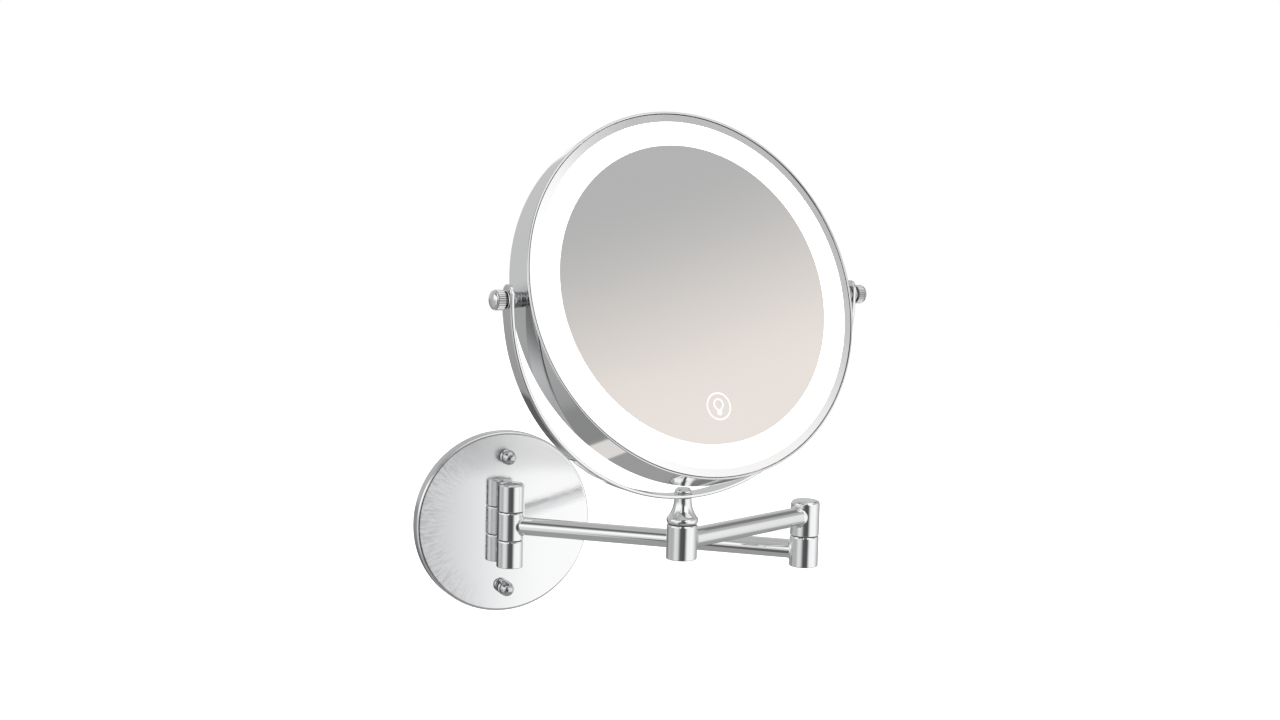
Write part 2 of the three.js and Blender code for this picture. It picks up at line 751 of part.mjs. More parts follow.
function buildHeadShell(face) {
  const diffuserTop = HEAD_FRONT - 0.3;
  const glassTop = HEAD_FRONT - 1;
  piece(face, "casing_ring", casingRing(), chrome);
  piece(face, "front_bezel", bezel(LIGHT_R, HEAD_FRONT - 0.1, HEAD_FRONT - 1.1, 4.6), chrome);
  piece(face, "light_diffuser", lightDiffuser(diffuserTop), litAcrylic);
  const glass = rod(GLASS_R - GAP, glassTop - GLASS_THICK, glassTop, RING_STEPS);
  piece(face, "front_mirror_glass", glass, mirrorGlass);
  const rearRim = bezel(REAR_GLASS.rimInside, HEAD_BACK, HEAD_BACK + 0.9, -5.2);
  piece(face, "rear_bezel", rearRim, chrome);
  piece(face, "rear_mirror_glass", rearGlass(HEAD_BACK + 1.2), mirrorGlass);
}

function buildHeadInside(face) {
  const trayFloor = HEAD_FRONT - 1 - GLASS_THICK - GAP - 1.2;
  const boardLow = trayFloor - 2.8 + 1.2 + GAP;
  piece(face, "chassis_tray", chassisTray(trayFloor), whitePlastic);
  piece(face, "led_board", ledBoard(boardLow), boardWhite);
  piece(face, "battery_holder", batteryHolder(), blackPlastic);
  const half = CELL.length / 2;
  for (let i = 0; i < CELL.count; i += 1) {
    const one = piece(face, `battery_${i + 1}`, cell(), cellJacket);
    one.position.set(0, CELL.lowest + i * CELL.pitch, CELL.w);
    one.rotation.y = i % 2 ? Math.PI : 0;
  }
  for (const [place, side] of [["left", -1], ["right", 1]]) {
    const plate = box(0.5, 30, 7, side * (half + 1.2), CELLS_Y, CELL.w + 0.2);
    piece(face, `battery_contact_${place}`, plate, brass);
  }
  const controlBoard = box(BOARD.width, BOARD.height, BOARD.thick, 0, BOARD.y, BOARD.w);
  piece(face, "control_board", controlBoard, boardGreen);
  const pad = rod(TOUCH.radius, BOARD.w + BOARD.thick / 2 + GAP, trayFloor - GAP);
  piece(face, "touch_sensor_pad", pad.translate(TOUCH.x, TOUCH.y, 0), brass);
  const edge = BOARD.width / 2 + 0.8;
  const batteryRun = [[27, 44, 0], [36, 20, 0], [35, -16, 0.6], [26, -44, BOARD.w], [edge, -52, BOARD.w]];
  piece(face, "battery_lead", lead(batteryRun), wireRed);
  const lightRun = [[-edge, -54, BOARD.w], [-40, -56, 0.6], [-56, -57, 0.6], [-66, -55, 0.6]];
  piece(face, "led_lead", lead(lightRun), wireRed);
}

// The two tilt pivots: each has a boss, a bush, a washer and a knob.
function buildPivots(face) {
  const bushLow = HEAD_R + GAP;
  const bushHigh = YOKE_R - YOKE_THICK - GAP;
  const parts = [
    ["pivot_boss", pivotBoss(), zincSteel],
    ["pivot_bush", alongX(pivotBush(bushLow, bushHigh)), chrome],
    ["pivot_washer", alongX(ring(SCREW_HOLE_R, 4.9, YOKE_R + 0.2, YOKE_R + 0.9, 24)), chrome],
    ["pivot_knob", pivotKnob(), chrome],
  ];
  for (const [name, shape, material] of parts) {
    piece(face, `${name}_right`, shape, material);
    const mirrored = piece(face, `${name}_left`, shape, material);
    mirrored.rotation.z = Math.PI;
  }
}

function buildHead(pivot) {
  pivot.rotation.x = THREE.MathUtils.degToRad(HEAD_TILT);
  const face = groupAt(pivot, 0, 0, 0);
  face.rotation.x = Math.PI / 2;
  buildHeadShell(face);
  buildHeadInside(face);
  buildPivots(face);
}

// ---------------------------------------------------------------- the whole mirror

const mirror = new THREE.Group();
buildWall(mirror);
const elbow = buildArm1(mirror);
const stem = buildArm2(elbow);
const pivot = buildYoke(stem);
buildHead(pivot);

export default mirror;
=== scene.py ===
"""Looks of a lit, double-sided shaving mirror on a two-section swing arm.

Blender works in metres. The sizes below are in millimetres, and MM turns them into metres. Everything
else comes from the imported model: joints give the places, and the CAD nodes give radii and heights.
"""

import json
import math

import bmesh
import bpy
from mathutils import Matrix, Vector


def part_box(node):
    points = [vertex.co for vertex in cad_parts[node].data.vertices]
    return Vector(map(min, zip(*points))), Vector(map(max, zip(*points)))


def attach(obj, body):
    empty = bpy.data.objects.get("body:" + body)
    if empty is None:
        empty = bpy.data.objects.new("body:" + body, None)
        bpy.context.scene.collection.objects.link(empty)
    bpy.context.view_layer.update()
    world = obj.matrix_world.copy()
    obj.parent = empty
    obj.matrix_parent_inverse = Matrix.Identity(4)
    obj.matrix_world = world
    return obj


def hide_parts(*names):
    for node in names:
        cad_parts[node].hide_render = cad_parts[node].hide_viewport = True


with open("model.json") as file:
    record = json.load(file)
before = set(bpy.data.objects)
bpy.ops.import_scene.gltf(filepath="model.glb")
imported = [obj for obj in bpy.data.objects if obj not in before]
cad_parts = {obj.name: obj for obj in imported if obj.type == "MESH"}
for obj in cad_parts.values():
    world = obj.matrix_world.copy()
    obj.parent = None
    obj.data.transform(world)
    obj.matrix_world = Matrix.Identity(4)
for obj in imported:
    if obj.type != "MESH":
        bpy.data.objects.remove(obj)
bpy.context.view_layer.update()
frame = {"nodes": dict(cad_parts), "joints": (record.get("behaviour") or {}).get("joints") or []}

MM = 0.001
UP = Vector((0, 0, 1))
ARC_STEP = math.radians(9)  # facets of a rounded edge
ROUND_STEPS = 96  # facets round a barrel, a knob or a tube
RING_STEPS = 288  # facets round the head and the wall plate

# The camera: where it stands, and how it looks at the mirror.
CAMERA_PLACE = Vector((-371.3, -1048.1, 220.4)) * MM
CAMERA_AZIMUTH = math.radians(-23.93)
CAMERA_ELEVATION = math.radians(6.03)
CAMERA_ROLL = math.radians(1.47)
CAMERA_LENS = 50.11  # on a 36 mm sensor

FLOOR_Z = -620 * MM
FLOOR_RADIUS = 9000 * MM

# Wall plate
COVER_SHEET = 1.2
COVER_EDGE = 2.0  # rounding between the rim and the face
COVER_DOME = 0.3  # how far the face falls from its middle to its edge
SCREW_HOLE_R = 2.3

# Mounting bar and its studs
BAR_EDGE = 0.3
BAR_SLOT = {"spread": 27, "length": 12, "width": 5.2}
STUD_R = 2
STUD_COLLAR = (2.4, 4.9)  # its foot and top, from the wall
THREAD_START = 5.2
THREAD_END = 0.8  # plain end above the thread
THREAD_PITCH = 0.7
THREAD_DEPTH = 0.28

# Barrels
PIN_R = 3
PIN_HEAD = 2.8  # height of a pin's head
PIN_BORE_R = 3.3  # bore for a pin or a spindle
PIN_RECESS = 3.4  # depth of the recess for a pin's head
PIN_RECESS_R = 5.7
KNUCKLE_RECESS = 4  # its depth in the knuckle's lower barrel
WASHER_BORE_R = 3.6
SEAM_ABOVE = (0.12, 0.25)  # how far the rim over a seam draws in, over how much of the height
SEAM_BELOW = (0.32, 0.85)  # the same for the rim under a seam, which catches the light
SEAM_COVER = 0.14  # how far the rim over a seam hangs into it
KNUCKLE_LIP = 2.1  # width of the rim round the dish in the knuckle's top
KNUCKLE_DISH = 0.6  # depth of that dish
ELBOW_EDGE = 2.4  # rounding of the elbow's top
WELD = 1.5  # fillet where a tube meets its barrel

# Yoke
STRIP_THICK = 2.1
STRIP_OUTER_EDGE = 1.0  # rounding of its outer edges
STRIP_INNER_EDGE = 0.35
STRIP_STEPS = 220

# Head
LIP = 0.6  # half of the rounded bead round each rim of the casing
BEZEL_FALL = 0.45  # how far a bezel's face falls from its inner edge to its outer
REAR_CURVE_R = 1200  # radius of the magnifying mirror's hollow face
TOUCH_ICON = {"x": 2.5, "y": -62.3, "radius": 7.6, "line": 0.95, "thick": 0.05}
TOUCH_BULB = {"rise": 1.1, "radius": 2.75, "neck": 0.95, "neck_low": -3.2}

# Knobs
FLUTES = 26
FLUTE_DEPTH = 0.6
KNOB_COLLAR = 1.2  # length of the plain collar at the foot
KNOB_BAND = 3.9  # length of the fluted band


# -------- places

def place(origin, x_axis, z_axis):
    """The matrix of a set of axes at a point."""
    x = Vector(x_axis).normalized()
    z = Vector(z_axis).normalized()
    y = z.cross(x)
    turn = Matrix((x, y, z)).transposed().to_4x4()
    return Matrix.Translation(origin) @ turn


def joint(name, what="pos_m"):
    """A joint's place or axis."""
    row = next(row for row in frame["joints"] if row["name"] == name)
    return Vector(row[what])


def local_box(node, axes):
    """A CAD node's lowest and highest corners in a place's own axes, in millimetres."""
    back = axes.inverted()
    points = [back @ vertex.co / MM for vertex in frame["nodes"][node].data.vertices]
    low = Vector(min(p[k] for p in points) for k in range(3))
    high = Vector(max(p[k] for p in points) for k in range(3))
    return low, high


def centred(axes, node):
    """The same axes, moved sideways so that their Z runs through the middle of a node."""
    low, high = local_box(node, axes)
    middle = (low + high) / 2
    return axes @ Matrix.Translation(Vector((middle.x, middle.y, 0)) * MM)


def flat(vector):
    return Vector((vector.x, vector.y, 0))


KNUCKLE_AT = joint("wall_swing")
ELBOW_AT = joint("elbow_swing")
STEM_AT = joint("stem_swivel")
TILT_AT = joint("head_tilt")
TILT_AXIS = joint("head_tilt", "axis")

glass_low, glass_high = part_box("front_mirror_glass")
FACE_NORMAL = ((glass_low + glass_high) / 2 - TILT_AT).normalized()

WALL = place(Vector((0, 0, 0)), (1, 0, 0), (0, -1, 0))
KNUCKLE = place(KNUCKLE_AT, (1, 0, 0), UP)
ARM1 = place(KNUCKLE_AT, flat(ELBOW_AT - KNUCKLE_AT), UP)
ARM1_TIP = place(flat(ELBOW_AT) + UP * KNUCKLE_AT.z, flat(ELBOW_AT - KNUCKLE_AT), UP)
ARM2 = place(ELBOW_AT, flat(STEM_AT - ELBOW_AT), UP)
ARM2_TIP = place(STEM_AT, flat(STEM_AT - ELBOW_AT), UP)
YOKE = place(TILT_AT, TILT_AXIS, UP)
FACE = place(TILT_AT, TILT_AXIS, FACE_NORMAL)
FACE_SIDES = {side: FACE @ Matrix.Rotation(math.radians(turn), 4, "Y")
              for side, turn in (("right", 90), ("left", -90))}


# -------- meshes

def new_piece(name, mesh, material, body, node=None):
    """Puts a mesh in the scene as a piece that rides on a body and may stand for a CAD node."""
    piece = bpy.data.objects.new(name, mesh)
    bpy.context.scene.collection.objects.link(piece)
    mesh.materials.clear()
    mesh.materials.append(material)
    for polygon in mesh.polygons:
        polygon.use_smooth = True
    mesh.set_sharp_from_angle(angle=math.radians(32))
    even = piece.modifiers.new("even_normals", "WEIGHTED_NORMAL")
    even.keep_sharp = True
    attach(piece, body)
    if node:
        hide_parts(node)


def stand_in(node, mesh, material, body):
    """A finer piece in the place of one CAD node."""
    new_piece(node + "_fine", mesh, material, body, node)


def mesh_from(name, work):
    bmesh.ops.recalc_face_normals(work, faces=work.faces)
    mesh = bpy.data.meshes.new(name)
    work.to_mesh(mesh)
    work.free()
    return mesh


def join_rings(work, rings, closed=False):
    """Faces between rings of vertices; a ring of one vertex is a point on the axis."""
    pairs = list(zip(rings, rings[1:]))
    if closed:
        pairs.append((rings[-1], rings[0]))
    for low, high in pairs:
        count = max(len(low), len(high))
        for i in range(count):
            corners = [low[i % len(low)], low[(i + 1) % len(low)]]
            corners += [high[(i + 1) % len(high)], high[i % len(high)]]
            face = list(dict.fromkeys(corners))
            if len(face) > 2:
                work.faces.new(face)


def rounded(corners, closed=False):
    """Points of an outline from corners (radius, height, rounding), each rounding drawn as an arc."""
    points = []
    for i, (radius, height, rounding) in enumerate(corners):
        here = Vector((radius, height))
        at_end = not closed and i in (0, len(corners) - 1)
        if at_end or rounding == 0:
            points.append(here)
            continue
        before = (Vector(corners[i - 1][:2]) - here).normalized()
        after = (Vector(corners[(i + 1) % len(corners)][:2]) - here).normalized()
        half = before.angle(after) / 2
        centre = here + (before + after).normalized() * rounding / math.sin(half)
        reach = rounding / math.tan(half)
        start = here + before * reach - centre
        end = here + after * reach - centre
        steps = max(2, math.ceil(start.angle(end) / ARC_STEP))
        points += [centre + start.slerp(end, k / steps) * rounding for k in range(steps + 1)]
    return points


def arc(centre_r, centre_z, radius, start, end, steps):
    """Points of an arc in an outline, from one angle to another in degrees."""
    angles = [math.radians(start + (end - start) * k / steps) for k in range(steps + 1)]
    return [Vector((centre_r + radius * math.cos(a), centre_z + radius * math.sin(a))) for a in angles]


def revolve(name, outline, axes, steps=ROUND_STEPS, closed=False, wave=None):
    """A solid turned about the Z of some axes; wave may change a point's radius with its angle."""
    work = bmesh.new()
    rings = []
    for radius, height in outline:
        if radius < 1e-6:
            rings.append([work.verts.new(axes @ Vector((0, 0, height * MM)))])
            continue
        ring = []
        for i in range(steps):
            angle = 2 * math.pi * i / steps
            r = wave(radius, height, angle) if wave else radius
            point = Vector((r * math.cos(angle), r * math.sin(angle), height)) * MM
            ring.append(work.verts.new(axes @ point))
        rings.append(ring)
    join_rings(work, rings, closed)
    return mesh_from(name, work)


def flat_shape(name, outlines, low, high, edge, axes):
    """A plate with closed outlines in millimetres, the first outside and the others holes."""
    curve = bpy.data.curves.new(name, "CURVE")
    curve.dimensions = "2D"
    curve.fill_mode = "BOTH"
    curve.extrude = (high - low) / 2 - edge
    curve.bevel_depth = edge
    curve.bevel_resolution = 2
    curve.offset = -edge
    for outline in outlines:
        spline = curve.splines.new("POLY")
        spline.points.add(len(outline) - 1)
        for point, (x, y) in zip(spline.points, outline):
            point.co = (x, y, 0, 1)
        spline.use_cyclic_u = True
    source = bpy.data.objects.new(name + "_outline", curve)
    mesh = bpy.data.meshes.new_from_object(source)
    bpy.data.objects.remove(source)
    mesh.transform(Matrix.Translation((0, 0, (low + high) / 2)))
    work = bmesh.new()
    work.from_mesh(mesh)
    bmesh.ops.remove_doubles(work, verts=work.verts, dist=1e-3)
    work.transform(axes @ Matrix.Scale(MM, 4))
    bpy.data.meshes.remove(mesh)
    return mesh_from(name, work)


def drilled(mesh, cutters):
    """The mesh with the cutter meshes taken out of it."""
    body = bpy.data.objects.new("drilled_body", mesh)
    bpy.context.scene.collection.objects.link(body)
    tools = []
    for cutter in cutters:
        tool = bpy.data.objects.new("drill", cutter)
        bpy.context.scene.collection.objects.link(tool)
        tools.append(tool)
        hole = body.modifiers.new("hole", "BOOLEAN")
        hole.operation = "DIFFERENCE"
        hole.solver = "EXACT"
        hole.object = tool
    depsgraph = bpy.context.evaluated_depsgraph_get()
    result = bpy.data.meshes.new_from_object(body.evaluated_get(depsgraph))
    for thing in [body, *tools]:
        bpy.data.objects.remove(thing)
    return result


# -------- materials

class Nodes:
    """A small helper that adds and links a material's or the world's shader nodes."""

    def __init__(self, owner):
        owner.use_nodes = True
        self.tree = owner.node_tree
        self.tree.nodes.clear()

    def add(self, kind, inputs=None, **settings):
        node = self.tree.nodes.new(kind)
        for name, value in settings.items():
            setattr(node, name, value)
        for socket, value in (inputs or {}).items():
            self.set(node.inputs[socket], value)
        return node

    def set(self, socket, value):
        if isinstance(value, bpy.types.NodeSocket):
            self.tree.links.new(value, socket)
        elif hasattr(value, "__len__") and len(value) == 3 and socket.type == "RGBA":
            socket.default_value = (*value, 1)
        else:
            socket.default_value = value

    def math(self, operation, first, second=0.0):
        return self.add("ShaderNodeMath", {0: first, 1: second}, operation=operation).outputs[0]

    def vector(self, operation, first, second=(0, 0, 0)):
        return self.add("ShaderNodeVectorMath", {0: first, 1: second}, operation=operation).outputs

    def between(self, value, low, high, start=0.0, end=1.0, smooth=True):
        """Maps a value from low..high to start..end, held at both ends."""
        kind = "SMOOTHSTEP" if smooth else "LINEAR"
        inputs = {"Value": value, "From Min": low, "From Max": high, "To Min": start, "To Max": end}
        return self.add("ShaderNodeMapRange", inputs, interpolation_type=kind).outputs[0]

    def mix(self, share, first, second):
        node = self.add("ShaderNodeMix", data_type="RGBA")
        self.set(node.inputs[0], share)
        self.set(node.inputs[6], first)
        self.set(node.inputs[7], second)
        return node.outputs[2]

    def position(self, scale=1.0):
        """The point on the piece in metres, times a scale along each axis."""
        where = self.add("ShaderNodeTexCoord").outputs["Object"]
        size = scale if hasattr(scale, "__len__") else (scale,) * 3
        return self.add("ShaderNodeMapping", {"Vector": where, "Scale": size}).outputs[0]

    def noise(self, where, scale, detail=3.0, roughness=0.5):
        inputs = {"Vector": where, "Scale": scale, "Detail": detail, "Roughness": roughness}
        return self.add("ShaderNodeTexNoise", inputs).outputs["Fac"]

    def bump(self, height, strength, distance):
        inputs = {"Height": height, "Strength": strength, "Distance": distance}
        return self.add("ShaderNodeBump", inputs).outputs[0]

    def surface(self, inputs):
        shader = self.add("ShaderNodeBsdfPrincipled", inputs)
        output = self.add("ShaderNodeOutputMaterial")
        self.tree.links.new(shader.outputs[0], output.inputs["Surface"])
        return shader


CHROME_DULL = (0.865, 0.872, 0.882)
CHROME_CLEAR = (0.905, 0.908, 0.912)


def material_nodes(name):
    material = bpy.data.materials.new(name)
    return material, Nodes(material)


def chrome_plate(name, dull=CHROME_DULL, clear=CHROME_CLEAR, rough=(0.01, 0.03)):
    """Polished chrome: nearly a mirror, with a faint haze and the slow waves of hand polishing."""
    material, nodes = material_nodes(name)
    where = nodes.position()
    haze = nodes.noise(where, 55, 4)
    waves = nodes.noise(where, 38, 2)
    tone = nodes.mix(haze, dull, clear)
    nodes.surface({
        "Base Color": tone,
        "Metallic": 1.0,
        "Roughness": nodes.between(haze, 0.3, 0.7, *rough),
        "Normal": nodes.bump(waves, 0.15, 0.00003),
    })
    return material


def knob_plate_painted_shade(name, axes, radius, band_low, band_high):
    """Chrome with painted shade that darkens the flutes and the collar at its foot."""
    material, nodes = material_nodes(name)
    from_middle = nodes.vector("SUBTRACT", nodes.position(1 / MM), axes.translation / MM)[0]
    height = nodes.vector("DOT_PRODUCT", from_middle, axes.to_3x3() @ UP)[1]
    distance = nodes.vector("LENGTH", from_middle)[1]
    reach = nodes.math("SQRT", nodes.math(
        "SUBTRACT", nodes.math("MULTIPLY", distance, distance), nodes.math("MULTIPLY", height, height)))
    # Painted shade in the flute grooves, fading out at the top of the band.
    flute_shade = nodes.math("MULTIPLY", nodes.between(reach, radius - 0.12, radius - 0.5),
                          nodes.between(height, band_high + 0.3, band_high, 0.0, 0.6))
    # Painted shade on the collar under the band.
    collar_shade = nodes.between(height, band_low + 0.1, band_low - 0.2)
    haze = nodes.noise(nodes.position(), 55, 4)
    tone = nodes.mix(haze, CHROME_DULL, CHROME_CLEAR)
    nodes.surface({
        "Base Color": nodes.mix(nodes.math("MAXIMUM", flute_shade, collar_shade), tone, (0.10, 0.10, 0.105)),
        "Metallic": 1.0,
        "Roughness": nodes.between(haze, 0.3, 0.7, 0.02, 0.05),
    })
    return material


def satin_plate():
    """The wall plate: bright steel with brush lines running outwards from its middle. Painted shade darkens
    it towards the left and on its rim near the wall; on the left of its face the brush lines are drawn dark
    and light, real grain with painted light and shade.
    """
    material, nodes = material_nodes("satin_plate")
    across, depth, upward = nodes.add("ShaderNodeSeparateXYZ", {0: nodes.position(1 / MM)}).outputs
    radius = nodes.math("SQRT", nodes.math(
        "ADD", nodes.math("MULTIPLY", across, across), nodes.math("MULTIPLY", upward, upward)))
    angle = nodes.math("ARCTAN2", upward, across)
    spokes = nodes.add("ShaderNodeCombineXYZ", {
        0: nodes.math("COSINE", angle),
        1: nodes.math("SINE", angle),
        2: nodes.math("MULTIPLY", radius, 0.004),
    }).outputs[0]
    streak = nodes.noise(spokes, 30, 2, 0.6)
    fine = nodes.noise(spokes, 110, 2, 0.6)
    lines = nodes.between(nodes.math("ADD", streak, nodes.math("MULTIPLY", fine, 0.7)), 0.66, 0.98)
    on_face = nodes.between(depth, -8, -8.6)
    # The left ring of the face, where the brush lines carry painted light and shade and the plate is
    # rougher.
    brush_sheen_side = nodes.math("MULTIPLY", nodes.between(radius, 30, 57), nodes.between(across, -4, -48))
    brush_sheen_side = nodes.math("MULTIPLY", brush_sheen_side, on_face)
    cloud = nodes.noise(nodes.position(), 30, 3)
    bright = nodes.mix(cloud, (0.94, 0.943, 0.946), (0.97, 0.972, 0.974))
    # Painted shade: the plate grows darker towards the left.
    shaded = nodes.mix(nodes.between(across, 26, -57), bright, (0.66, 0.665, 0.68))
    # Painted shade: the rim is darker towards the wall.
    side = nodes.mix(nodes.between(depth, -7.2, -7.8), (0.70, 0.705, 0.715), bright)
    side = nodes.mix(on_face, side, shaded)
    # Colours of the brush lines: real grain, drawn dark and light as painted light and shade.
    streak_sheen = nodes.mix(lines, (0.46, 0.465, 0.48), (0.72, 0.725, 0.735))
    matt = nodes.math("MAXIMUM", nodes.between(upward, 10, 50), nodes.math("MULTIPLY", brush_sheen_side, 0.6))
    nodes.surface({
        "Base Color": nodes.mix(nodes.math("MULTIPLY", brush_sheen_side, 0.65), side, streak_sheen),
        "Metallic": 1.0,
        "Roughness": nodes.between(matt, 0, 1, 0.045, 0.26),
        "Normal": nodes.bump(lines, 0.2, 0.00002),
    })
    return material


def silvered_glass():
    """A mirror: clean, with the faintest film where it has been wiped."""
    material, nodes = material_nodes("silvered_glass")
    film = nodes.noise(nodes.position((14, 14, 42)), 1.0, 4)
    tone = nodes.mix(film, (0.93, 0.935, 0.935), (0.95, 0.952, 0.95))
    nodes.surface({
        "Base Color": tone,
        "Metallic": 1.0,
        "Roughness": nodes.between(film, 0.45, 0.75, 0.0, 0.012),
    })
    return material


def lit_acrylic():
    """The diffuser: opal acrylic with the lamps behind it, its glow a little uneven."""
    material, nodes = material_nodes("lit_acrylic")
    grain = nodes.noise(nodes.position(), 420, 2)
    glow = nodes.between(grain, 0.2, 0.8, 1.35, 1.5)
    nodes.surface({
        "Base Color": nodes.mix(grain, (0.93, 0.93, 0.93), (0.97, 0.97, 0.97)),
        "Roughness": 0.3,
        "Emission Color": (1.0, 0.995, 0.985),
        "Emission Strength": glow,
    })
    return material


def etched_icon():
    """The touch mark: silvering etched away to a frosted white, faintly lit from behind."""
    material, nodes = material_nodes("etched_icon")
    frost = nodes.noise(nodes.position(), 2500, 2)
    nodes.surface({
        "Base Color": nodes.mix(frost, (0.88, 0.88, 0.87), (0.96, 0.96, 0.95)),
        "Roughness": 0.55,
        "Emission Color": (1.0, 0.985, 0.96),
        "Emission Strength": nodes.between(frost, 0.2, 0.8, 0.42, 0.5),
    })
    return material


def plated_steel():
    """Zinc plate: grey, faintly spangled, with fine drawn lines."""
    material, nodes = material_nodes("plated_steel")
    where = nodes.position()
    spangle = nodes.noise(where, 260, 3)
    lines = nodes.noise(nodes.position((900, 900, 60)), 1.0, 2)
    nodes.surface({
        "Base Color": nodes.mix(spangle, (0.50, 0.51, 0.53), (0.66, 0.67, 0.68)),
        "Metallic": 1.0,
        "Roughness": nodes.between(spangle, 0.3, 0.7, 0.28, 0.42),
        "Normal": nodes.bump(lines, 0.3, 0.00005),
    })
    return material


def moulded(name, dark, light, roughness=0.5):
    """A moulded or coated surface: a fine texture, and slow drifts of tone."""
    material, nodes = material_nodes(name)
    where = nodes.position()
    drift = nodes.noise(where, 40, 3)
    texture = nodes.noise(where, 900, 2)
    nodes.surface({
        "Base Color": nodes.mix(drift, dark, light),
        "Roughness": nodes.between(texture, 0.3, 0.7, roughness - 0.06, roughness + 0.06),
        "Normal": nodes.bump(texture, 0.3, 0.00004),
    })
    return material


def bare_brass():
    """Drawn brass, unevenly stained."""
    material, nodes = material_nodes("bare_brass")
    stain = nodes.noise(nodes.position(), 180, 4)
    nodes.surface({
        "Base Color": nodes.mix(stain, (0.62, 0.47, 0.21), (0.82, 0.67, 0.36)),
        "Metallic": 1.0,
        "Roughness": nodes.between(stain, 0.3, 0.7, 0.22, 0.4),
    })
    return material


def board_mask():
    """Green solder mask with copper tracks showing through as lighter lines."""
    material, nodes = material_nodes("board_mask")
    where = nodes.position(1 / MM)
    tracks = nodes.add("ShaderNodeTexBrick", {
        "Vector": where, "Scale": 0.35, "Mortar Size": 0.03,
        "Color1": (0.02, 0.13, 0.06), "Color2": (0.03, 0.16, 0.08), "Mortar": (0.06, 0.27, 0.13)})
    nodes.surface({"Base Color": tracks.outputs["Color"], "Roughness": 0.35})
    return material


def cell_jacket():
    """A plain shrink sleeve on a dry cell, with a paler band at one end."""
    material, nodes = material_nodes("cell_jacket")
    along = nodes.add("ShaderNodeSeparateXYZ", {0: nodes.position(1 / MM)}).outputs[0]
    band = nodes.between(along, 24, 26)
    scuff = nodes.noise(nodes.position(), 300, 3)
    dark = nodes.mix(scuff, (0.035, 0.055, 0.10), (0.05, 0.075, 0.13))
    nodes.surface({
        "Base Color": nodes.mix(band, dark, (0.55, 0.42, 0.2)),
        "Metallic": 0.3,
        "Roughness": nodes.between(scuff, 0.3, 0.7, 0.28, 0.4),
    })
    return material


chrome = chrome_plate("chrome_plate")
# Chrome darkened as painted shade: for the pivot bushes and the disc in the knuckle's dish.
shaded_chrome = chrome_plate("dark_chrome_plate", (0.34, 0.345, 0.355), (0.42, 0.425, 0.435))
# Chrome darkened a little as painted shade on the cap nuts.
shaded_nut_chrome = chrome_plate("nut_chrome_plate", (0.62, 0.625, 0.635), (0.70, 0.705, 0.715))
soft_chrome = chrome_plate("soft_chrome_plate", (0.94, 0.945, 0.95), (0.96, 0.963, 0.966), (0.18, 0.22))
satin = satin_plate()
mirror = silvered_glass()
acrylic = lit_acrylic()
icon_white = etched_icon()
zinc = plated_steel()
nylon = moulded("nylon", (0.16, 0.16, 0.165), (0.22, 0.22, 0.225))
white_plastic = moulded("white_plastic", (0.78, 0.78, 0.76), (0.85, 0.85, 0.83))
black_plastic = moulded("black_plastic", (0.012, 0.012, 0.014), (0.025, 0.025, 0.028))
white_mask = moulded("white_mask", (0.83, 0.83, 0.80), (0.89, 0.89, 0.86), 0.4)
red_wire = moulded("red_wire", (0.38, 0.02, 0.015), (0.5, 0.035, 0.025), 0.4)
brass = bare_brass()
green_mask = board_mask()
sleeve = cell_jacket()


# -------- turned pieces

def turned_form(name, corners, axes, steps=ROUND_STEPS):
    """A turned mesh; an outline that doesn't start on the axis goes round a through bore."""
    bored = corners[0][0] > 0
    return revolve(name, rounded(corners, closed=bored), axes, steps, closed=bored)


def turned_piece(node, axes, corners, material, body, steps=ROUND_STEPS):
    """A turned piece that stands for one CAD node; corners is an outline of rounded corners."""
    stand_in(node, turned_form(node + "_form", corners, axes, steps), material, body)


def size_of(node, axes):
    """A turned CAD node's radius, lowest and highest place along the axes' Z, in millimetres."""
    low, high = local_box(node, axes)
    return (high.x - low.x) / 2, low.z, high.z


def rod_corners(radius, low, high, edge=0.4):
    return [(0, low, 0), (radius, low, edge), (radius, high, edge), (0, high, 0)]


def lower_end(radius, low, blind_to=None):
    """A barrel's lower end over a seam, with a bore that goes through or stops at a height."""
    draw, reach = SEAM_ABOVE
    end = low - SEAM_COVER
    bore_end = [] if blind_to is None else [(0, blind_to, 0), (PIN_BORE_R, blind_to, 0)]
    return [*bore_end, (PIN_BORE_R, end, 0), (radius - draw, end, 0.1), (radius, end + reach, 0.1)]


def upper_end(radius, high):
    """A barrel's upper end under a seam, open to a bore."""
    draw, reach = SEAM_BELOW
    return [(radius, high - reach, 0.5), (radius - draw, high, 0.12), (PIN_BORE_R, high, 0)]


def washer(node, axes, inner, material, body):
    """A flat ring with softened edges."""
    radius, low, high = size_of(node, axes)
    edge = min(0.25, (high - low) * 0.4)
    corners = [(inner, low, edge), (radius, low, edge), (radius, high, edge), (inner, high, edge)]
    turned_piece(node, axes, corners, material, body)


def headed_pin(node, axes, body):
    """A pin with a rounded head at its lower end."""
    radius, low, high = size_of(node, axes)
    head = low + PIN_HEAD
    corners = [(0, low, 0), (radius, low, 0.9), (radius, head, 0.2), (PIN_R, head, 0)]
    corners += [(PIN_R, high, 0.3), (0, high, 0)]
    turned_piece(node, axes, corners, zinc, body, 64)


# -------- wall plate and knuckle

def cover_face(radius):
    """Height of the cover's slightly domed face at a radius."""
    rim, _, middle = size_of("wall_cover", WALL)
    return middle - COVER_DOME * (radius / rim) ** 2


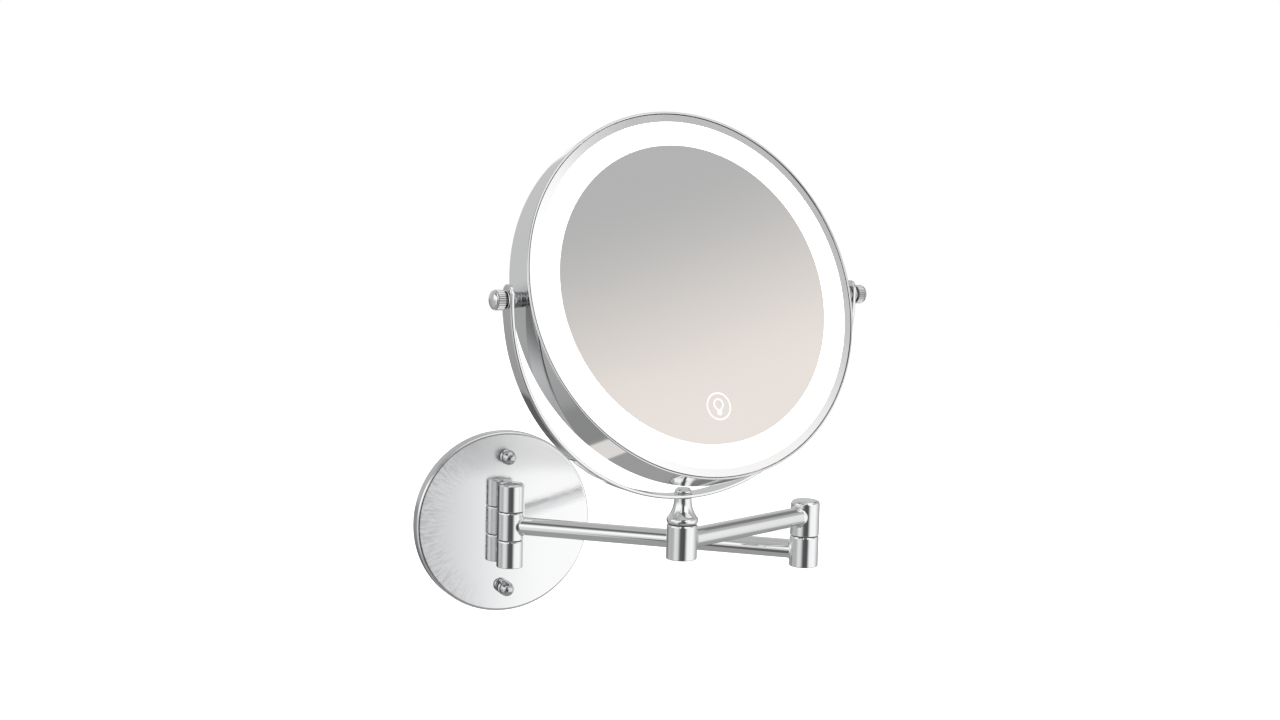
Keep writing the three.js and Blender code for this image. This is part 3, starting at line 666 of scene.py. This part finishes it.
def make_cover():
    radius, low, _ = size_of("wall_cover", WALL)
    inner_wall = radius - COVER_SHEET
    face_r = radius - COVER_EDGE
    steps = 40
    face = [Vector((face_r * k / steps, cover_face(face_r * k / steps))) for k in range(steps + 1)]
    sheet = Vector((0, COVER_SHEET))
    side = [
        (0, 0, 0),
        (inner_wall, face[-1].y - COVER_SHEET, 1),
        (inner_wall, low, 0.3),
        (radius, low, 0.4),
        (radius, face[-1].y, COVER_EDGE),
        (0, face[-1].y, 0),
    ]
    outline = [point - sheet for point in face[:-1]] + rounded(side)[1:-1] + face[-2::-1]
    shell = revolve("wall_cover_form", outline, WALL, RING_STEPS)
    places = [centred(WALL, node) for node in (
        "cap_nut_upper", "cap_nut_lower", "knuckle_screw_upper", "knuckle_screw_lower")]
    holes = [turned_form("hole", rod_corners(SCREW_HOLE_R, 1, 20), at, 40) for at in places]
    stand_in("wall_cover", drilled(shell, holes), satin, "wall")


def slot_outline(y, length, width, steps=14):
    """A round-ended slot along X."""
    reach = (length - width) / 2
    points = []
    for side, start in ((1, -90), (-1, 90)):
        for k in range(steps + 1):
            a = math.radians(start + 180 * k / steps)
            points.append((side * reach + width / 2 * math.cos(a), y + width / 2 * math.sin(a)))
    return points


def make_mounting_bar():
    low, high = local_box("mounting_bar", WALL)
    outside = [(y, x) for x, y in slot_outline(0, high.y - low.y, high.x - low.x, 28)]
    spread, length, width = BAR_SLOT.values()
    holes = [slot_outline(side * spread, length, width) for side in (1, -1)]
    stud_y = centred(WALL, "stud_upper").translation.z / MM
    holes += [slot_outline(side * stud_y, SCREW_HOLE_R * 2, SCREW_HOLE_R * 2) for side in (1, -1)]
    mesh = flat_shape("mounting_bar_form", [outside, *holes], low.z, high.z, BAR_EDGE, WALL)
    stand_in("mounting_bar", mesh, zinc, "wall")


def make_stud(node):
    """A stud with a collar, and the crests of its thread above that."""
    axes = centred(WALL, node)
    radius, low, high = size_of(node, axes)
    foot, top = STUD_COLLAR
    corners = [(0, low, 0), (STUD_R, low, 0.2), (STUD_R, foot, 0), (radius, foot, 0.3), (radius, top, 0.5)]
    corners.append((STUD_R, top, 0))
    for turn in range(int((high - THREAD_START - THREAD_END) / THREAD_PITCH)):
        crest = THREAD_START + turn * THREAD_PITCH
        corners += [(STUD_R, crest, 0.05), (STUD_R - THREAD_DEPTH, crest + THREAD_PITCH / 2, 0.05)]
    corners += [(STUD_R, high - 0.5, 0.1), (STUD_R - 0.5, high, 0), (0, high, 0)]
    turned_piece(node, axes, corners, zinc, "wall", 48)


def make_cap_nut(node):
    """Collar, groove and ball."""
    axes = centred(WALL, node)
    radius, low, high = size_of(node, axes)
    ball = radius - 0.05
    ball_centre = high - ball
    outline = rounded([
        (0, low + 0.9, 0),
        (SCREW_HOLE_R, low + 0.9, 0),
        (SCREW_HOLE_R, low, 0.2),
        (radius, low, 0.3),
        (radius, low + 2.1, 0.5),
        (radius - 0.65, low + 2.7, 0),
    ])
    outline += arc(0, ball_centre, ball, -31, 90, 30)
    outline[-1].x = 0
    # Darkened chrome: painted shade on the cap nut.
    stand_in(node, revolve(node + "_form", outline, axes), shaded_nut_chrome, "wall")


def barrel_foot(screw):
    """The stub that carries a fixed barrel on the plate, in line with its screw."""
    axes = centred(WALL, screw)
    start = cover_face(0) + 0.05
    reach = -KNUCKLE_AT.y / MM - 3
    corners = [(0, start, 0), (4.4, start, 0.5), (4.4, reach, 0), (0, reach, 0)]
    return turned_form("foot", corners, axes, 64)


def joined(meshes, name):
    work = bmesh.new()
    for mesh in meshes:
        work.from_mesh(mesh)
        bpy.data.meshes.remove(mesh)
    return mesh_from(name, work)


def make_knuckle_top():
    """The upper fixed barrel: a rolled rim round a shallow dish, with a disc let into it in darkened chrome
    that paints the shade in the dish.
    """
    radius, low, high = size_of("knuckle_top", KNUCKLE)
    plug = radius - 0.3
    lip = radius - KNUCKLE_LIP
    disc_top = high - KNUCKLE_DISH
    pin_top = size_of("knuckle_pin", KNUCKLE)[2]
    corners = [
        *lower_end(radius, low, pin_top + 0.3),
        (radius, high - 1.1, 0.12),
        (plug - 0.2, high - 1.1, 0.05),
        (plug, high - 0.9, 0.2),
        (plug - 0.45, high, 0.9),
        (lip, high, 0.3),
        (lip - 0.4, disc_top - 0.6, 0),
        (0, disc_top - 0.6, 0),
    ]
    barrel = turned_form("knuckle_top_barrel", corners, KNUCKLE)
    mesh = joined([barrel, barrel_foot("knuckle_screw_upper")], "knuckle_top_form")
    stand_in("knuckle_top", mesh, chrome, "wall")
    disc_r = lip - 0.45
    disc_low = disc_top - 0.58
    disc = [(0, disc_low, 0), (disc_r, disc_low, 0.1), (disc_r, disc_top, 0.15), (0, disc_top, 0)]
    disc_mesh = turned_form("knuckle_disc_form", disc, KNUCKLE)
    # Darkened chrome: painted shade in the dish.
    new_piece("knuckle_top_disc", disc_mesh, shaded_chrome, "wall")


def recessed_end(radius, low, recess=PIN_RECESS):
    """A bored barrel's lower end, with a recess for a pin's head."""
    floor = low + recess
    return [(PIN_BORE_R, floor, 0), (PIN_RECESS_R, floor, 0), (PIN_RECESS_R, low, 0.2), (radius, low, 0.55)]


def make_knuckle_bottom():
    radius, low, high = size_of("knuckle_bottom", KNUCKLE)
    corners = [*recessed_end(radius, low, KNUCKLE_RECESS), *upper_end(radius, high)]
    barrel = turned_form("knuckle_bottom_barrel", corners, KNUCKLE)
    mesh = joined([barrel, barrel_foot("knuckle_screw_lower")], "knuckle_bottom_form")
    stand_in("knuckle_bottom", mesh, chrome, "wall")


def make_wall():
    make_cover()
    make_mounting_bar()
    for side in ("upper", "lower"):
        make_stud("stud_" + side)
        make_cap_nut("cap_nut_" + side)
        washer("knuckle_washer_" + side, KNUCKLE, WASHER_BORE_R, nylon, "wall")
    make_knuckle_top()
    make_knuckle_bottom()
    headed_pin("knuckle_pin", KNUCKLE, "wall")


# -------- arms

def make_tube(node, axes, barrel, body):
    """A tube between two barrels, shaped to their sides and filleted into them."""
    low, high = local_box(node, axes)
    tube_r = (high.y - low.y) / 2
    barrel_r, _, _ = size_of(barrel, axes)
    length = low.x + high.x
    work = bmesh.new()

    def ring(radius, reach):
        points = []
        for i in range(ROUND_STEPS):
            a = 2 * math.pi * i / ROUND_STEPS
            y, z = radius * math.cos(a), radius * math.sin(a)
            points.append(Vector((reach(y), y, z)))
        return points

    def on_barrel(y):
        return math.sqrt(barrel_r ** 2 - y ** 2)

    start = ring(tube_r + WELD, lambda y: on_barrel(y) - 0.03)
    corner = ring(tube_r, on_barrel)
    end = ring(tube_r, lambda y: on_barrel(y) + WELD)
    steps = 8
    rings = [ring(tube_r + WELD, lambda y: on_barrel(y) - 1.5), start]
    for k in range(1, steps):
        t = k / steps
        u, v, w = (1 - t) ** 2, 2 * t * (1 - t), t ** 2
        rings.append([a * u + b * v + c * w for a, b, c in zip(start, corner, end)])
    rings.append(end)
    rings.append(ring(tube_r, lambda y: barrel_r + 2 * WELD))
    far = [[Vector((length - p.x, p.y, p.z)) for p in points] for points in reversed(rings)]
    made = [[work.verts.new(axes @ (p * MM)) for p in points] for points in [*rings, *far]]
    join_rings(work, made)
    work.faces.new(made[0])
    work.faces.new(made[-1])
    stand_in(node, mesh_from(node + "_form", work), chrome, body)


def make_barrel(node, axes, body, make_foot):
    """A bored barrel under a seam; make_foot gives its lower end."""
    radius, low, high = size_of(node, axes)
    corners = [*make_foot(radius, low), *upper_end(radius, high)]
    turned_piece(node, axes, corners, chrome, body)


def make_arms():
    make_barrel("arm1_hub", ARM1, "arm1", lower_end)
    make_tube("arm1_tube", ARM1, "arm1_hub", "arm1")
    make_barrel("arm1_end_barrel", ARM1_TIP, "arm1", recessed_end)
    headed_pin("elbow_pin", ARM1_TIP, "arm1")

    washer("elbow_washer", ARM2, WASHER_BORE_R, nylon, "arm2")
    radius, low, high = size_of("arm2_elbow_barrel", ARM2)
    pin_top = size_of("elbow_pin", ARM2)[2]
    corners = [*lower_end(radius, low, pin_top + 0.3), (radius, high, ELBOW_EDGE), (0, high, 0)]
    turned_piece("arm2_elbow_barrel", ARM2, corners, chrome, "arm2")
    make_tube("arm2_tube", ARM2, "arm2_elbow_barrel", "arm2")
    make_barrel("arm2_socket", ARM2_TIP, "arm2", recessed_end)


# -------- stem and yoke

def make_neck():
    """A rounded shoulder, swept in to a slim waist under the yoke."""
    radius, low, high = size_of("stem_neck", ARM2_TIP)
    meet = 38  # degrees above level at which the shoulder turns into the sweep
    waist = 4.8
    shoulder_r = 2.6
    centre_r, centre_z = radius - shoulder_r, low + 1.6
    across, upward = math.cos(math.radians(meet)), math.sin(math.radians(meet))
    sweep = (centre_r + shoulder_r * across - waist) / (1 - across)
    apart = shoulder_r + sweep
    end = low - SEAM_COVER
    outline = [Vector((0, end)), Vector((centre_r + 1.4, end))]
    outline += arc(centre_r, centre_z, shoulder_r, -36, meet, 14)
    outline += arc(centre_r + apart * across, centre_z + apart * upward, sweep, 180 + meet, 180, 30)[1:]
    outline += [Vector((waist, high + 0.2)), Vector((0, high + 0.2))]
    stand_in("stem_neck", revolve("stem_neck_form", outline, ARM2_TIP), chrome, "yoke")


def strip_section(half_width, half_thick):
    """A rounded rectangle as (sideways, outward) points, the same number whatever its size."""
    points = []
    for quarter, (sx, sy) in enumerate(((1, 1), (-1, 1), (-1, -1), (1, -1))):
        edge = min(STRIP_OUTER_EDGE if sy > 0 else STRIP_INNER_EDGE, half_width * 0.98)
        for k in range(6):
            a = math.radians(90 * quarter + 18 * k)
            points.append((sx * (half_width - edge) + edge * math.cos(a),
                           sy * (half_thick - edge) + edge * math.sin(a)))
    return points


def make_strip():
    """The bent strip: a half ring with straight, round-ended tips above the tilt axis."""
    low, high = local_box("yoke_strip", YOKE)
    half_width = (high.y - low.y) / 2
    middle = (high.x - low.x) / 2 - STRIP_THICK / 2
    tip = high.z
    around = math.pi * middle
    whole = around + 2 * tip
    end_steps = 24
    ends = [half_width * (1 - math.cos(math.pi / 2 * k / end_steps)) for k in range(1, end_steps + 1)]
    inside = [half_width + (whole - 2 * half_width) * k / STRIP_STEPS for k in range(1, STRIP_STEPS)]
    stations = ends + inside + [whole - s for s in reversed(ends)]
    work = bmesh.new()
    rings = []
    for s in stations:
        from_tip = min(s, whole - s)
        short = max(0.0, half_width - from_tip)
        half = math.sqrt(max(half_width ** 2 - short ** 2, 0.01))
        if s < tip:
            centre, outward = Vector((-middle, 0, tip - s)), Vector((-1, 0, 0))
        elif s > whole - tip:
            centre, outward = Vector((middle, 0, s - whole + tip)), Vector((1, 0, 0))
        else:
            a = math.pi * (s - tip) / around
            outward = Vector((-math.cos(a), 0, -math.sin(a)))
            centre = outward * middle
        section = strip_section(half, STRIP_THICK / 2)
        points = [centre + outward * v + Vector((0, u, 0)) for u, v in section]
        rings.append([work.verts.new(YOKE @ (p * MM)) for p in points])
    join_rings(work, rings)
    work.faces.new(rings[0])
    work.faces.new(rings[-1])
    holes = []
    for side, axes in FACE_SIDES.items():
        near = size_of("pivot_bush_" + side, axes)[2] - 1
        far = size_of("pivot_washer_" + side, axes)[2] + 1
        holes.append(turned_form("hole", rod_corners(SCREW_HOLE_R, near, far, 0), axes, 40))
    stand_in("yoke_strip", drilled(mesh_from("yoke_strip_form", work), holes), chrome, "yoke")


def make_yoke():
    make_neck()
    make_strip()
    washer("stem_washer", ARM2_TIP, WASHER_BORE_R, nylon, "yoke")
    washer("yoke_washer", YOKE, SCREW_HOLE_R, chrome, "yoke")
    radius, low, high = size_of("yoke_nut", YOKE)
    corners = [(0, low, 0), (radius, low, 0.3), (radius, low + 0.9, 0.4), (3.4, high, 0.9), (0, high, 0)]
    turned_piece("yoke_nut", YOKE, corners, chrome, "yoke")
    washer("stem_retainer", ARM2_TIP, SCREW_HOLE_R, chrome, "yoke")


# -------- mirror head

def make_casing():
    radius, low, high = size_of("casing_ring", FACE)
    inner = radius - 2 * LIP
    corners = [
        (inner, low, LIP * 0.9),
        (radius, low, LIP * 0.9),
        (radius, high, LIP * 0.98),
        (inner, high, LIP * 0.98),
    ]
    turned_piece("casing_ring", FACE, corners, chrome, "head", RING_STEPS)


def make_bezel(node, rim_inner, face, inward, skirt_end):
    """A sloped rim with a skirt inside the casing; inward is the direction of the head's middle."""
    radius, _, _ = size_of(node, FACE)
    outer = radius - 0.05
    skirt = radius - 1.2
    back = face + inward
    corners = [
        (rim_inner, face, 0.2),
        (outer, face + inward * BEZEL_FALL, 0.1),
        (outer, skirt_end, 0.2),
        (skirt, skirt_end, 0.2),
        (skirt, back, 0),
        (rim_inner, back, 0),
    ]
    turned_piece(node, FACE, corners, soft_chrome, "head", RING_STEPS)


def make_diffuser():
    radius, low, high = size_of("light_diffuser", FACE)
    inner = size_of("front_mirror_glass", FACE)[0] + 0.5
    outer = radius - 1.7
    corners = [
        (inner, low, 0),
        (radius, low, 0),
        (radius, low + 0.6, 0),
        (outer, low + 0.6, 0),
        (outer, high, 0.3),
        (inner, high, 0.45),
    ]
    turned_piece("light_diffuser", FACE, corners, acrylic, "head", RING_STEPS)


def make_front_glass():
    radius, low, high = size_of("front_mirror_glass", FACE)
    corners = [(0, low, 0), (radius, low, 0.2), (radius, high, 0.25), (0, high, 0)]
    turned_piece("front_mirror_glass", FACE, corners, mirror, "head", RING_STEPS)


def make_rear_glass():
    radius, rim_face, inside = size_of("rear_mirror_glass", FACE)
    thick = 2
    steps = 40

    def fall(r):
        return rim_face + (radius ** 2 - r ** 2) / (2 * REAR_CURVE_R)

    rear = [Vector((radius * k / steps, fall(radius * k / steps))) for k in range(steps + 1)]
    front = [Vector((p.x, p.y + thick)) for p in reversed(rear)]
    mesh = revolve("rear_mirror_form", rear + front, FACE, RING_STEPS)
    stand_in("rear_mirror_glass", mesh, mirror, "head")


def bulb_outline(grow):
    """A lamp's outline: a round bulb over a narrower neck, grown or shrunk by a stroke's half width."""
    r = TOUCH_BULB["radius"] + grow
    half = TOUCH_BULB["neck"] + grow
    low = TOUCH_BULB["neck_low"]
    tangent = math.degrees(math.asin(half / r)) + 14
    points = [(r * math.cos(math.radians(a)), r * math.sin(math.radians(a)))
              for a in range(int(-90 + tangent), int(270 - tangent) + 1, 8)]
    return points + [(-half, low), (-half, low - grow), (half, low - grow), (half, low)]


def make_touch_icon():
    """A lamp in a ring, etched in the mirror to show where to touch it."""
    _, _, top = size_of("front_mirror_glass", FACE)
    spot = FACE @ Matrix.Translation(Vector((TOUCH_ICON["x"], TOUCH_ICON["y"], top)) * MM)
    outer = TOUCH_ICON["radius"]
    inner = outer - TOUCH_ICON["line"]
    thick = TOUCH_ICON["thick"]
    corners = [(inner, -0.02, 0), (outer, -0.02, 0), (outer, thick, 0.02), (inner, thick, 0.02)]
    ring = turned_form("touch_ring_form", corners, spot)
    new_piece("touch_icon_ring", ring, icon_white, "head")

    bulb_axes = spot @ Matrix.Translation(Vector((0, TOUCH_BULB["rise"], 0)) * MM)
    half_line = TOUCH_ICON["line"] / 2
    glass = [bulb_outline(grow) for grow in (half_line, -half_line)]
    bulb = flat_shape("touch_bulb_glass", glass, -0.02, thick, 0.01, bulb_axes)
    base = [(-1.5, -3.4), (1.5, -3.4), (1.5, -5.2), (0.9, -5.9), (-0.9, -5.9), (-1.5, -5.2)]
    foot = flat_shape("touch_bulb_base", [base], -0.02, thick, 0.01, bulb_axes)
    mesh = joined([bulb, foot], "touch_bulb_form")
    new_piece("touch_icon_bulb", mesh, icon_white, "head")


def make_bush(side):
    """The spacer between the casing and the yoke: a flange at the yoke and a turned groove."""
    node = "pivot_bush_" + side
    axes = FACE_SIDES[side]
    radius, low, high = size_of(node, axes)
    body = radius - 0.8
    corners = [
        (SCREW_HOLE_R, low - 0.25, 0),
        (body, low - 0.25, 0.2),
        (body, low + 1.0, 0.5),
        (body - 0.4, low + 1.35, 0.2),
        (body, low + 1.7, 0.5),
        (body, high - 2.4, 0.4),
        (body - 0.6, high - 2.1, 0.2),
        (radius, high - 1.6, 0.5),
        (radius, high + 0.1, 0.5),
        (SCREW_HOLE_R, high + 0.1, 0),
    ]
    # Darkened chrome: painted shade on the bush between the casing and the yoke.
    turned_piece(node, axes, corners, shaded_chrome, "head")


def make_knob(side):
    """A fluted band under a smooth dome, with a plain collar at its foot."""
    node = "pivot_knob_" + side
    axes = FACE_SIDES[side]
    radius, _, tip = size_of(node, axes)
    foot = size_of("pivot_washer_" + side, axes)[2] + 0.3
    band_low, band_high = foot + KNOB_COLLAR, foot + KNOB_COLLAR + KNOB_BAND
    dome = radius - 0.25
    groove = band_high + 0.35
    outline = rounded([
        (0, foot - 8, 0),
        (2, foot - 8, 0.3),
        (2, foot, 0),
        (radius - 0.7, foot, 0.3),
        (radius - 0.7, band_low - 0.25, 0.1),
        (radius, band_low, 0.25),
        (radius, band_high, 0.3),
        (radius - 0.9, groove - 0.15, 0.1),
        (radius - 0.9, groove, 0),
    ])
    squat = (tip - groove) / dome  # the dome is a little flatter than a half ball
    outline += [Vector((p.x, groove + p.y * squat)) for p in arc(0, 0, dome, 3, 90, 24)]
    outline[-1].x = 0

    def flutes(r, height, angle):
        inside_band = band_low - 0.2 < height < band_high + 0.1 and r > radius - 0.5
        if not inside_band:
            return r
        return r - FLUTE_DEPTH * (0.5 - 0.5 * math.cos(FLUTES * angle))

    mesh = revolve(node + "_form", outline, axes, FLUTES * 12, wave=flutes)
    # Chrome with painted shade in the flutes and on the collar.
    finish = knob_plate_painted_shade("knob_plate_painted_shade_" + side, axes, radius, band_low, band_high)
    stand_in(node, mesh, finish, "knob_" + side)


def make_head():
    make_casing()
    _, low, high = size_of("front_bezel", FACE)
    lit_outer = size_of("light_diffuser", FACE)[0] - 1.4
    make_bezel("front_bezel", lit_outer, high, -1, low)
    _, low, high = size_of("rear_bezel", FACE)
    rear_inner = size_of("rear_mirror_glass", FACE)[0] - 3
    make_bezel("rear_bezel", rear_inner, low, 1, high)
    make_diffuser()
    make_front_glass()
    make_rear_glass()
    make_touch_icon()
    for side, axes in FACE_SIDES.items():
        make_bush(side)
        washer("pivot_washer_" + side, axes, SCREW_HOLE_R, chrome, "head")
        make_knob(side)


# -------- CAD nodes that stay

KEPT_NODES = {
    "knuckle_screw_upper": zinc, "knuckle_screw_lower": zinc,
    "arm1_root_plug": zinc, "arm1_tip_plug": zinc, "arm2_root_plug": zinc, "arm2_tip_plug": zinc,
    "stem_spindle": zinc, "pivot_boss_right": zinc, "pivot_boss_left": zinc,
    "chassis_tray": white_plastic, "led_board": white_mask, "battery_holder": black_plastic,
    "battery_1": sleeve, "battery_2": sleeve, "battery_3": sleeve,
    "battery_contact_left": brass, "battery_contact_right": brass, "touch_sensor_pad": brass,
    "control_board": green_mask, "battery_lead": red_wire, "led_lead": red_wire,
}


def finish_kept_nodes():
    for node, material in KEPT_NODES.items():
        piece = frame["nodes"][node]
        piece.data.materials.clear()
        piece.data.materials.append(material)


# -------- studio

# What the chrome reflects, in degrees as seen from the mirror: azimuth 0 is -Y and 90 is +X.
# Light round the horizon: azimuth, light.
HORIZON = [
    (-180, 0.20), (-172, 0.20), (-163, 0.34), (-150, 0.36), (-136, 0.42), (-122, 0.50), (-103, 0.45),
    (-88, 0.54), (-76, 0.80), (-58, 0.75), (-49, 0.57), (-41, 0.26), (-34, 0.11), (-12, 0.08),
    (-5, 0.10), (1, 0.25), (8, 0.62), (15, 0.90), (22, 1.0), (60, 1.05), (74, 0.87), (84, 0.78),
    (96, 0.56), (108, 0.50), (122, 0.40), (139, 0.30), (150, 0.20), (180, 0.20),
]
HORIZON_HEIGHTS = (-34, 8, 20, 6)  # elevation from, softness, to, softness

# Panels in front of that, each over the ones before.
# Azimuth from, to and softness; elevation from, softness, to, softness; light; warmth.
STUDIO = [
    ((-190, -140, 8), (-2, 3, 48, 8), 0.58, 0.0),  # far wall
    ((140, 190, 8), (-2, 3, 48, 8), 0.58, 0.0),
    ((-116, -46, 6), (0, 9, 29, 6), 1.06, 0.0),  # upper part of the soft box on the left
    ((-108, -46, 9), (38, 7, 60, 5), 0.15, 0.0),  # flag over it
    ((-44, -29, 5), (6, 6, 58, 6), 1.0, 0.0),  # strip lights on both sides of the camera
    ((-5, 37, 1.5), (10, 6, 58, 6), 1.12, 0.0),
    ((-48, 100, 8), (50, 5, 95, 1), 1.0, 0.0),  # and above it
    ((-33, -6, 3), (-4, 4, 34, 4), 0.11, 0.0),  # flag round the camera
    ((92, 128, 9), (33, 4, 47, 5), 0.22, 0.0),  # flag on the right
    ((38, 50.5, 1.5), (14, 5, 27.5, 4), 0.87, 0.13),  # warm light that the mirror shows
    ((50.5, 66, 1.5), (16, 4, 40, 4), 0.52, 0.0),
    ((160, 166, 3), (2, 3, 12, 3), 1.0, 0.0),
    ((-58, -42, 2), (-72, 5, -18, 4), 0.12, 0.0),  # foot of the soft box
    ((-177, -162, 1.5), (-34, 1, -24, 1), 0.12, 0.0),  # things on the floor behind
    ((-166, -148, 3), (-52, 3, -39, 3), 0.27, 0.0),
    ((-178, -166.5, 1), (-56, 2, -43, 1), 0.78, 0.06),
]
STUDIO_FLOOR = 0.35
STUDIO_CEILING = 0.48


def make_world():
    """A white studio for the eye, and soft boxes and flags for what the chrome reflects."""
    world = bpy.data.worlds.new("studio")
    bpy.context.scene.world = world
    nodes = Nodes(world)
    direction = nodes.add("ShaderNodeTexCoord").outputs["Generated"]
    x, y, z = nodes.add("ShaderNodeSeparateXYZ", {0: direction}).outputs
    to_degrees = 180 / math.pi
    azimuth = nodes.math("MULTIPLY", nodes.math("ARCTAN2", x, nodes.math("MULTIPLY", y, -1)), to_degrees)
    elevation = nodes.math("MULTIPLY", nodes.math("ARCSINE", z), to_degrees)

    def window(value, low, low_soft, high, high_soft):
        rise = nodes.between(value, low - low_soft, low + low_soft)
        fall = nodes.between(value, high - high_soft, high + high_soft, 1.0, 0.0)
        return nodes.math("MULTIPLY", rise, fall)

    turn = nodes.between(azimuth, -180, 180, smooth=False)
    horizon = nodes.add("ShaderNodeValToRGB", {"Fac": turn})
    ramp = horizon.color_ramp
    for degrees, level in HORIZON[1:-1]:
        ramp.elements.new((degrees + 180) / 360).color = (level, level, level, 1)
    for stop, (_, level) in ((ramp.elements[0], HORIZON[0]), (ramp.elements[-1], HORIZON[-1])):
        stop.color = (level, level, level, 1)

    light = nodes.mix(nodes.between(elevation, -30, 30), (STUDIO_FLOOR,) * 3, (STUDIO_CEILING,) * 3)
    light = nodes.mix(window(elevation, *HORIZON_HEIGHTS), light, horizon.outputs[0])
    for (start, end, soft), heights, level, warmth in STUDIO:
        across = window(azimuth, start, soft, end, soft)
        share = nodes.math("MULTIPLY", across, window(elevation, *heights))
        tint = (level, level * (1 - warmth * 0.6), level * (1 - warmth))
        light = nodes.mix(share, light, tint)
    seen = nodes.add("ShaderNodeLightPath").outputs["Is Camera Ray"]
    colour = nodes.mix(seen, light, (1.0, 1.0, 1.0))
    background = nodes.add("ShaderNodeBackground", {"Color": colour, "Strength": 1.0})
    output = nodes.add("ShaderNodeOutputWorld")
    nodes.tree.links.new(background.outputs[0], output.inputs["Surface"])


def make_floor():
    """A plain pale floor well below the mirror, evenly lit."""
    material, nodes = material_nodes("pale_floor")
    drift = nodes.noise(nodes.position(), 0.6, 2)
    nodes.surface({
        "Base Color": nodes.mix(drift, (0.93, 0.93, 0.93), (0.96, 0.96, 0.96)),
        "Roughness": 0.9,
        "Emission Color": (1.0, 1.0, 1.0),
        "Emission Strength": 0.9,
    })
    work = bmesh.new()
    bmesh.ops.create_circle(work, cap_ends=True, segments=96, radius=FLOOR_RADIUS,
                            matrix=Matrix.Translation((0, 0, FLOOR_Z)))
    floor = bpy.data.objects.new("floor", mesh_from("floor_form", work))
    floor.data.materials.append(material)
    bpy.context.scene.collection.objects.link(floor)
    floor.visible_glossy = False
    floor.visible_diffuse = False


def make_camera():
    back = Vector((math.sin(CAMERA_AZIMUTH) * math.cos(CAMERA_ELEVATION),
                   -math.cos(CAMERA_AZIMUTH) * math.cos(CAMERA_ELEVATION),
                   math.sin(CAMERA_ELEVATION)))
    right = (-back).cross(UP).normalized()
    level = place(CAMERA_PLACE, right, back)
    data = bpy.data.cameras.new("camera")
    data.lens = CAMERA_LENS
    data.clip_start = 0.01
    data.clip_end = 100
    camera = bpy.data.objects.new("camera", data)
    camera.matrix_world = level @ Matrix.Rotation(CAMERA_ROLL, 4, "Z")
    bpy.context.scene.collection.objects.link(camera)
    bpy.context.scene.camera = camera


def set_studio():
    make_camera()
    make_world()
    make_floor()
    bpy.context.scene.view_settings.view_transform = "Standard"


set_studio()
make_wall()
make_arms()
make_yoke()
make_head()
finish_kept_nodes()
